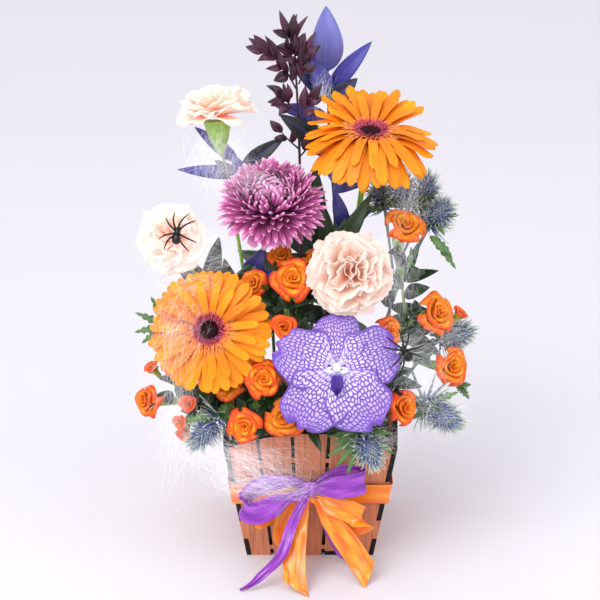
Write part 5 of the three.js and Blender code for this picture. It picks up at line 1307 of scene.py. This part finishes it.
class BuildRoses(bpy.types.Operator):
    """Models the spray roses, their buds, branches and leaves"""
    bl_idname = "flower_basket.roses"
    bl_label = "Roses"

    def execute(self, context):
        look = settings(context, "blooms")
        leaf_look = settings(context, "foliage")
        tissue = petal_tissue("rose_petal_back", [
            (0.0, look.rose_foot), (0.4, look.rose), (0.66, look.rose_back),
            (1.0, look.rose_rim)],
            ribs=12, rib_depth=0.0002, roughness=0.45, glow=0.2, streak=0.4, shift=0.14)
        inner = petal_tissue("rose_petal_face", [
            (0.0, look.rose_foot), (0.5, look.rose_foot), (0.78, look.rose), (0.93, look.rose_back),
            (1.0, look.rose_rim)],
            ribs=12, rib_depth=0.0002, roughness=0.45, glow=0.25, streak=0.45, shift=0.16)
        green = green_stem("rose_stem_skin", leaf_look.stem)
        masters = [self.head(look, (tissue, inner), seed, openness)
                   for seed, openness in [(1, 1.0), (2, 0.9), (3, 1.06)]]
        for index, (name, (place, toward, radius)) in enumerate(ROSES.items()):
            piece = masters[index % 3].copy()
            piece.data = piece.data.copy()
            bpy.context.scene.collection.objects.link(piece)
            piece.data.transform(Matrix.Scale(radius / DRAWN_ROSE, 4))
            shades = piece.data.attributes["tint"].data
            lean = (index * 0.37) % 1  # one rose is redder than the next
            shades.foreach_set("value", [0.5 * one.value + 0.5 * lean for one in shades])
            finish_piece([piece], name + "_bloom", [name], facing(place, toward, radius))
        leaf_green = leaf_tissue("rose_leaf_tissue", leaf_look.green, gloss=0.42)
        rng = random.Random(55)
        for name, foot, trunk, carries, buds in ROSE_SPRAYS:
            heads = [(*ROSES[one], False) for one in carries] + [(*one, True) for one in buds]
            heads.sort(key=lambda one: one[0][2])
            starts = forks(foot, trunk, len(heads))
            routes = [(stem_route(foot, trunk), [1.9, 1.7, 1.5], 50)]
            bud_parts, rows = [], []
            for start, (place, toward, radius, closed) in zip(starts, heads):
                back = radius if closed else radius * ROSE_SEAT + STEM_CUP
                routes.append(cupped_branch(start, place, toward, 1.3, radius * 0.3, back))
                if closed:
                    bud_parts.append(self.bud(place, toward, radius, tissue, green))
                rows += self.sprig(start, behind(place, toward, back), rng)
            stalk = paint(tubes(routes, 2), green)
            leafage = leaves_of(rows, leaf_look.leaf_thickness, leaf_green, fold=0.1, arch=0.1, wave=0.6)
            finish_piece([stalk, leafage, *bud_parts], name + "_branches", [name])
        for master in masters:
            bpy.data.objects.remove(master)
        return {"FINISHED"}

    def head(self, look, tissues, seed, openness):
        """A rose: a tight heart, a middle row and four reflexed outer petals."""
        rng = random.Random(seed)
        parts = []
        spiral = [0, 0.08, 0.16, 0.26, 0.38, 0.46, 0.6, 0.68, 0.83, 0.9, 0.96, 1.0]
        for i, s in enumerate(spiral):
            shape = rose_petal(s, i * 1.3 + seed, ROSE_PETAL)
            petal = blade(14, 16, shape, look.petal_thickness, *tissues)
            turn = i * GOLDEN_TURN + rng.uniform(-0.4, 0.4)
            wide = 1 + (openness - 1) * s
            size = Matrix.Diagonal((wide, wide, 1 + rng.uniform(-0.1, 0.08), 1))
            lean = Matrix.Rotation(rng.uniform(-0.14, 0.24) * s, 4, "Y")
            parts.append(repeat(petal, [(Matrix.Rotation(turn, 4, "Z") @ size @ lean, rng.random())]))
        return joined(parts)

    def bud(self, place, toward, radius, tissue, green):
        """A half-open bud: petals wrapped round each other, held by five sepals."""
        parts = []
        for i, s in enumerate([0, 0.1, 0.2, 0.28, 0.35, 0.42, 0.46]):
            petal = blade(10, 12, rose_petal(s, i, 2.35 * radius), 0.4 * MM, tissue)
            turned = Matrix.Rotation(i * GOLDEN_TURN, 4, "Z") @ Matrix.Scale(0.75, 4, (0, 0, 1))
            parts.append(repeat(petal, [(turned, 0.15 * i)]))
        sepal = blade(4, 8, leaf_shape(1.9 * radius, 0.75 * radius, fold=0.3, arch=0.14), 0.4 * MM, green)
        parts.append(repeat(sepal, [(at_ring(i / 5 * math.tau, 0.35 * radius, -1.1 * radius, 1.2), 0.6)
                                    for i in range(5)]))
        whole = joined(parts)
        whole.data.transform(facing(place, toward))
        return whole

    def sprig(self, start, end, rng):
        """Leaflets along one branch: foot, tip, width, tint and the way they face."""
        rows = []
        for i in range(5):
            foot = start.lerp(end, 0.25 + 0.6 * i / 5)
            turn = i * 2.4 + rng.random()
            out = Vector((math.cos(turn), -0.35 + 0.6 * math.sin(turn), 0.35 + 0.3 * rng.random()))
            out.normalize()
            long = rng.uniform(16, 24)
            rows.append((foot, foot + out * long, long * 0.55, rng.random(), (0.4 * out.y, -0.75, 0.65)))
        return rows


class BuildSeaHollies(bpy.types.Operator):
    """Models the sea hollies: spiny cones in ruffs of cut bracts, on leafy stems"""
    bl_idname = "flower_basket.sea_hollies"
    bl_label = "Sea hollies"

    def execute(self, context):
        look = settings(context, "foliage")
        bract = petal_tissue("sea_holly_bract_tissue", [
            (0.0, scaled(look.sea_holly, 0.8)), (0.4, scaled(look.sea_holly, 1.25)),
            (0.75, look.sea_holly_tip), (1.0, linear("#dfe6cf"))],
            ribs=4, rib_depth=0.0001, roughness=0.6, glow=0.05)
        green = leaf_tissue("sea_holly_leaf_tissue", linear("#5f8a4a"), gloss=0.5)
        skin = green_stem("sea_holly_stem_skin", linear("#6f8f8a"))
        rng = random.Random(70)
        for name, foot, trunk, heads in SEA_HOLLIES:
            ordered = sorted(heads, key=lambda one: one[0][2])
            routes = [(stem_route(foot, trunk), [1.8, 1.6, 1.4], 50)]
            parts, rows = [], []
            for start, (place, toward, radius, height) in zip(forks(foot, trunk, len(heads)), ordered):
                back = behind(place, toward, height * 0.45)
                routes.append(([start, behind(place, toward, height * 0.45 + 3), back], [1.2, 1.2, 1.7], 20))
                parts.append(self.head(place, toward, radius, height, bract, rng))
                for i in range(7):
                    turn = i * 0.93 + rng.random() * 0.6
                    out = Vector((math.cos(turn), 0.55 * math.sin(turn) - 0.2, rng.uniform(-0.25, 0.6)))
                    out.normalize()
                    rows.append((back, back + out * rng.uniform(18, 30), rng.uniform(4, 7), rng.random(),
                                 (0.3, -0.7, 0.65)))
            stalk = paint(tubes(routes, 2), skin)
            for start, tips in SEA_HOLLY_SPRIGS.get(name, []):
                rows += [(Vector(start), Vector(tip), 6, 0.5, (0.2, -0.8, 0.5)) for tip in tips]
            leafage = leaves_of(rows, look.leaf_thickness, green, 4, 26,
                                fold=0.1, arch=0.1, wave=1.0, teeth=5)
            finish_piece([stalk, leafage, *parts], name + "_heads", [name])
        return {"FINISHED"}

    def head(self, place, toward, radius, height, material, rng):
        """One cone: florets and long spines on an ovoid, with three rings of cut bracts below it."""
        half = height / 2
        parts = []
        for long, count, wild in [(9.5, 180, 0.4), (6.0, 170, 0.2)]:
            spine = blade(2, 4, leaf_shape(long, 0.7, fold=0.3, arch=0.06), 0.3 * MM, material)
            spots = []
            for i in range(count):
                share = (i + 0.5) / count
                z = -0.5 * half + 1.5 * half * share
                wide = radius * 0.8 * math.sqrt(max(0.0, 1 - ((share - 0.28) / 0.76) ** 2))
                tilt = -0.3 + 1.75 * share + rng.uniform(-wild, wild)
                spots.append((at_ring(i * GOLDEN_TURN + long, wide, z, tilt, rng.uniform(-1, 1),
                                      rng.uniform(0.7, 1.3)), 0.2 + 0.7 * share))
            parts.append(repeat(spine, spots))
        parts.append(ball(16, 10, material, lambda x, y, z: (
            x * radius * 0.8, y * radius * 0.8, z * 0.75 * half + 0.2 * half)))
        for count, size, tilt, z in [(16, 2.3, -0.1, -0.5), (15, 2.1, 0.3, -0.42), (12, 1.7, 0.7, -0.3)]:
            bract = blade(2, 10, self.cut_bract(radius * size), 0.4 * MM, material)
            parts.append(repeat(bract, [
                (at_ring((i + rng.uniform(-0.3, 0.3)) / count * math.tau + size, radius * 0.4, z * height,
                         tilt + rng.uniform(-0.25, 0.25), rng.uniform(-0.6, 0.6), rng.uniform(0.75, 1.1)),
                 rng.random()) for i in range(count)]))
        whole = joined(parts)
        whole.data.transform(facing(place, toward))
        return whole

    def cut_bract(self, long):
        """A stiff bract with spiny teeth down both sides."""
        def shape(u, v):
            half = long * 0.085 * (1 - v) * (0.35 + 1.0 * (round(v * 10) % 2)) + 0.15
            return (long * v, half * u, long * 0.16 * v * v + 0.3 * abs(u))
        return shape


class BuildFoliage(bpy.types.Operator):
    """Models the ruscus, the burgundy spray and the dark green leaves"""
    bl_idname = "flower_basket.foliage"
    bl_label = "Foliage"

    def execute(self, context):
        look = settings(context, "foliage")
        tissues = {"ruscus": leaf_tissue("dyed_ruscus_tissue", look.ruscus, gloss=0.42, vein_rows=22,
                                         shaded=linear("#1c2a2e"), lit=linear("#7779c6")),
                   "green": leaf_tissue("lemon_leaf_tissue", look.green, gloss=0.4, shaded=linear("#14261a"))}
        skin = green_stem("foliage_stem_skin", scaled(look.green, 1.4))
        for name, kind, foot, radius, route, leaves in FOLIAGE:
            rows, routes = [], []
            for points, tips in [(stem_route(foot, route), leaves), *SIDE_STEMS.get(name, [])]:
                line = [Vector(point) for point in points]
                routes.append((line, [radius * 1.1, radius, radius * 0.8], 50))
                rows += [(route_point(line, share), tip, width, tint, (0, -0.9, 0.35))
                         for share, tip, width, tint in tips]
            leafage = leaves_of(rows, look.leaf_thickness, tissues[kind], 8, 16,
                                fold=0.1, arch=0.1, full=0.78)
            finish_piece([leafage, paint(tubes(routes, 2), skin)], name + "_leaves", [name])
        self.burgundy(look)
        return {"FINISHED"}

    def burgundy(self, look):
        """The burgundy spray: side twigs with flat pointed leaflets by turns."""
        rng = random.Random(90)
        tissue = leaf_tissue("burgundy_leaf_tissue", look.burgundy, gloss=0.45, shaded=linear("#2a0f20"))
        skin = green_stem("burgundy_stem_skin", scaled(look.burgundy, 0.6))
        foot, route = BURGUNDY
        routes = [(stem_route(foot, route), [1.6, 1.4, 0.9], 60)]
        rows = []
        for points, leaflets in BURGUNDY_TWIGS:
            twig = [Vector(p) for p in points]
            routes.append((twig, [0.8, 0.6, 0.35], 16))
            for share, tip in leaflets * 2:
                foot = route_point(twig, share * rng.uniform(0.75, 0.95))
                tip = Vector(tip) + Vector([rng.gauss(0, 1.8) * (len(rows) % 3) for _ in range(2)] + [0])
                rows.append((foot, tip, rng.uniform(5, 8), rng.random(),
                             (rng.uniform(-0.6, 0.6), -0.8, rng.uniform(-0.2, 0.7))))
        leafage = leaves_of(rows, look.leaf_thickness, tissue, 6, 10, fold=0.14, arch=0.12, full=0.7)
        finish_piece([leafage, paint(tubes(routes, 2), skin)], "burgundy_leaflets",
                     ["burgundy_spray"])


class BuildSpiders(bpy.types.Operator):
    """Models the two plastic toy spiders"""
    bl_idname = "flower_basket.spiders"
    bl_label = "Spiders"

    def execute(self, context):
        plastic = moulded_plastic("black_polyethylene", settings(context, "trim").spider)
        for name, place, toward, spin in SPIDERS:
            parts = [self.body(plastic, 2.6, 3.0, 2.4, 2.0), self.body(plastic, 3.8, 4.6, 3.2, -4.0)]
            routes = []
            for side in (-1, 1):
                for degrees in (70, 42, -20, -52):
                    turn = math.radians(degrees)
                    joints = [(1, 2.5), (5, 5.4), (9.5, 6.2), (14, 3.2), (18, -1.2)]
                    leg = [(side * reach * math.cos(turn), 1 + reach * math.sin(turn), height)
                           for reach, height in joints]
                    routes.append((leg, [0.95, 0.9, 0.8, 0.65, 0.35], 26))
                routes.append(([(side * 0.9, 4.6, 2.2), (side * 1.2, 6.2, 1.6)], [0.7, 0.3], 6))
            parts.append(paint(tubes(routes, 2), plastic))
            finish_piece(parts, name + "_toy", [name], facing(place, toward, spin))
        return {"FINISHED"}

    def body(self, plastic, wide, long, high, middle):
        return ball(24, 14, plastic, lambda x, y, z: (
            x * wide * (1 - 0.12 * y), y * long + middle, z * high + 2.8))


class BuildCobweb(bpy.types.Operator):
    """Draws the teased cobweb that veils the arrangement and the bow"""
    bl_idname = "flower_basket.cobweb"
    bl_label = "Cobweb"

    def execute(self, context):
        look = settings(context, "trim")
        fibre = teased_fibre(look.web)
        rng = random.Random(5)
        for name, clouds, nodes in [
                ("cobweb_fibres", WEB_LEFT, ["cobweb"]), ("cobweb_right_fibres", WEB_RIGHT, [])]:
            routes = []
            for centre, spread, way, long, count in clouds:
                centre, way = Vector(centre), Vector(way).normalized()
                for _ in range(2 * count):
                    middle = centre + Vector([rng.gauss(0, 0.5) * side for side in spread])
                    run = (way + Vector([rng.gauss(0, 0.42) for _ in range(3)])).normalized()
                    half = run * long * rng.uniform(0.25, 0.75)
                    bow = Vector([rng.uniform(-0.14, 0.14) * long for _ in range(3)])
                    size = look.fibre / MM * rng.uniform(0.5, 1.3)
                    points = [self.held_in(point) for point in (middle - half, middle + bow, middle + half)]
                    routes.append((points, [size * 0.6, size, size * 0.6], 5))
            finish_piece([paint(tubes(routes, 0), fibre)], name, nodes)
        return {"FINISHED"}

    def held_in(self, point):
        """Keeps a fibre within the arrangement's own box."""
        low, high = CAD_BOX
        return Vector([min(max(value, low[i] / MM), high[i] / MM) for i, value in enumerate(point)])


class BuildStage(bpy.types.Operator):
    """Lays the pale floor, lights it softly and sets the camera"""
    bl_idname = "flower_basket.stage"
    bl_label = "Stage"

    def execute(self, context):
        look = settings(context, "stage")
        bpy.ops.mesh.primitive_plane_add(size=24)
        floor = bpy.context.object
        floor.name = "stage_floor"
        paint(floor, Wiring("stage_paper", Roughness=0.55, Base_Color=(*look.floor, 1)).material)
        world = bpy.data.worlds.new("stage_light")
        world.use_nodes = True
        backdrop = world.node_tree.nodes["Background"]
        backdrop.inputs["Color"].default_value = (0.95, 0.94, 1.0, 1)
        backdrop.inputs["Strength"].default_value = 0.9 * look.light
        context.scene.world = world
        context.scene.view_settings.view_transform = "Standard"
        for name, kind, place, size, power in [
                ("key", "AREA", (-0.9, -1.3, 1.6), 1.2, 19), ("fill", "AREA", (1.4, -1.0, 1.0), 1.4, 8),
                ("daylight", "SUN", (-0.5, -0.7, 1.6), math.radians(50), 0.78)]:
            bpy.ops.object.light_add(type=kind, location=place)
            lamp = bpy.context.object
            lamp.name = "stage_" + name
            setattr(lamp.data, "angle" if kind == "SUN" else "size", size)
            lamp.data.energy = power * look.light
            aim = Vector((0, -0.02, 0.22)) - Vector(place)
            lamp.rotation_euler = aim.to_track_quat("-Z", "Y").to_euler()
        bpy.ops.object.camera_add(location=(-0.0089, -1.2539, 0.7024), rotation=(math.radians(69), 0, 0))
        camera = bpy.context.object
        camera.data.sensor_width = SENSOR_WIDTH
        camera.data.lens = PHOTO_FOCAL_PIXELS / PHOTO_PIXELS * SENSOR_WIDTH
        context.scene.camera = camera
        return {"FINISHED"}


class BasketPanel(bpy.types.Panel):
    """Settings and build buttons"""
    bl_idname = "VIEW3D_PT_flower_basket"
    bl_label = "Flower basket"
    bl_space_type = "VIEW_3D"
    bl_region_type = "UI"
    bl_category = "Flower basket"

    def draw(self, context):
        for group in SETTINGS:
            box = self.layout.box()
            for key in SETTINGS[group].__annotations__:
                box.prop(settings(context, group), key)
        for operator in OPERATORS:
            self.layout.operator(operator.bl_idname)


SETTINGS = {"basket": BasketSettings, "ribbons": RibbonSettings, "blooms": BloomSettings,
            "foliage": FoliageSettings, "trim": TrimSettings, "stage": StageSettings}
OPERATORS = [BuildBasket, BuildBands, BuildBows, BuildGerberas, BuildChrysanthemum, BuildCarnations,
             BuildOrchid, BuildRoses, BuildSeaHollies, BuildFoliage, BuildSpiders, BuildCobweb, BuildStage]


def register():
    for kind in [*SETTINGS.values(), *OPERATORS, BasketPanel]:
        bpy.utils.register_class(kind)
    for group, kind in SETTINGS.items():
        setattr(bpy.types.Scene, "flower_basket_" + group, PointerProperty(type=kind))


def unregister():
    for group in SETTINGS:
        delattr(bpy.types.Scene, "flower_basket_" + group)
    for kind in reversed([*SETTINGS.values(), *OPERATORS, BasketPanel]):
        bpy.utils.unregister_class(kind)


def main():
    register()
    for operator in OPERATORS:
        getattr(bpy.ops.flower_basket, operator.bl_idname.split(".")[1])()


if __name__ == "__main__":
    main()
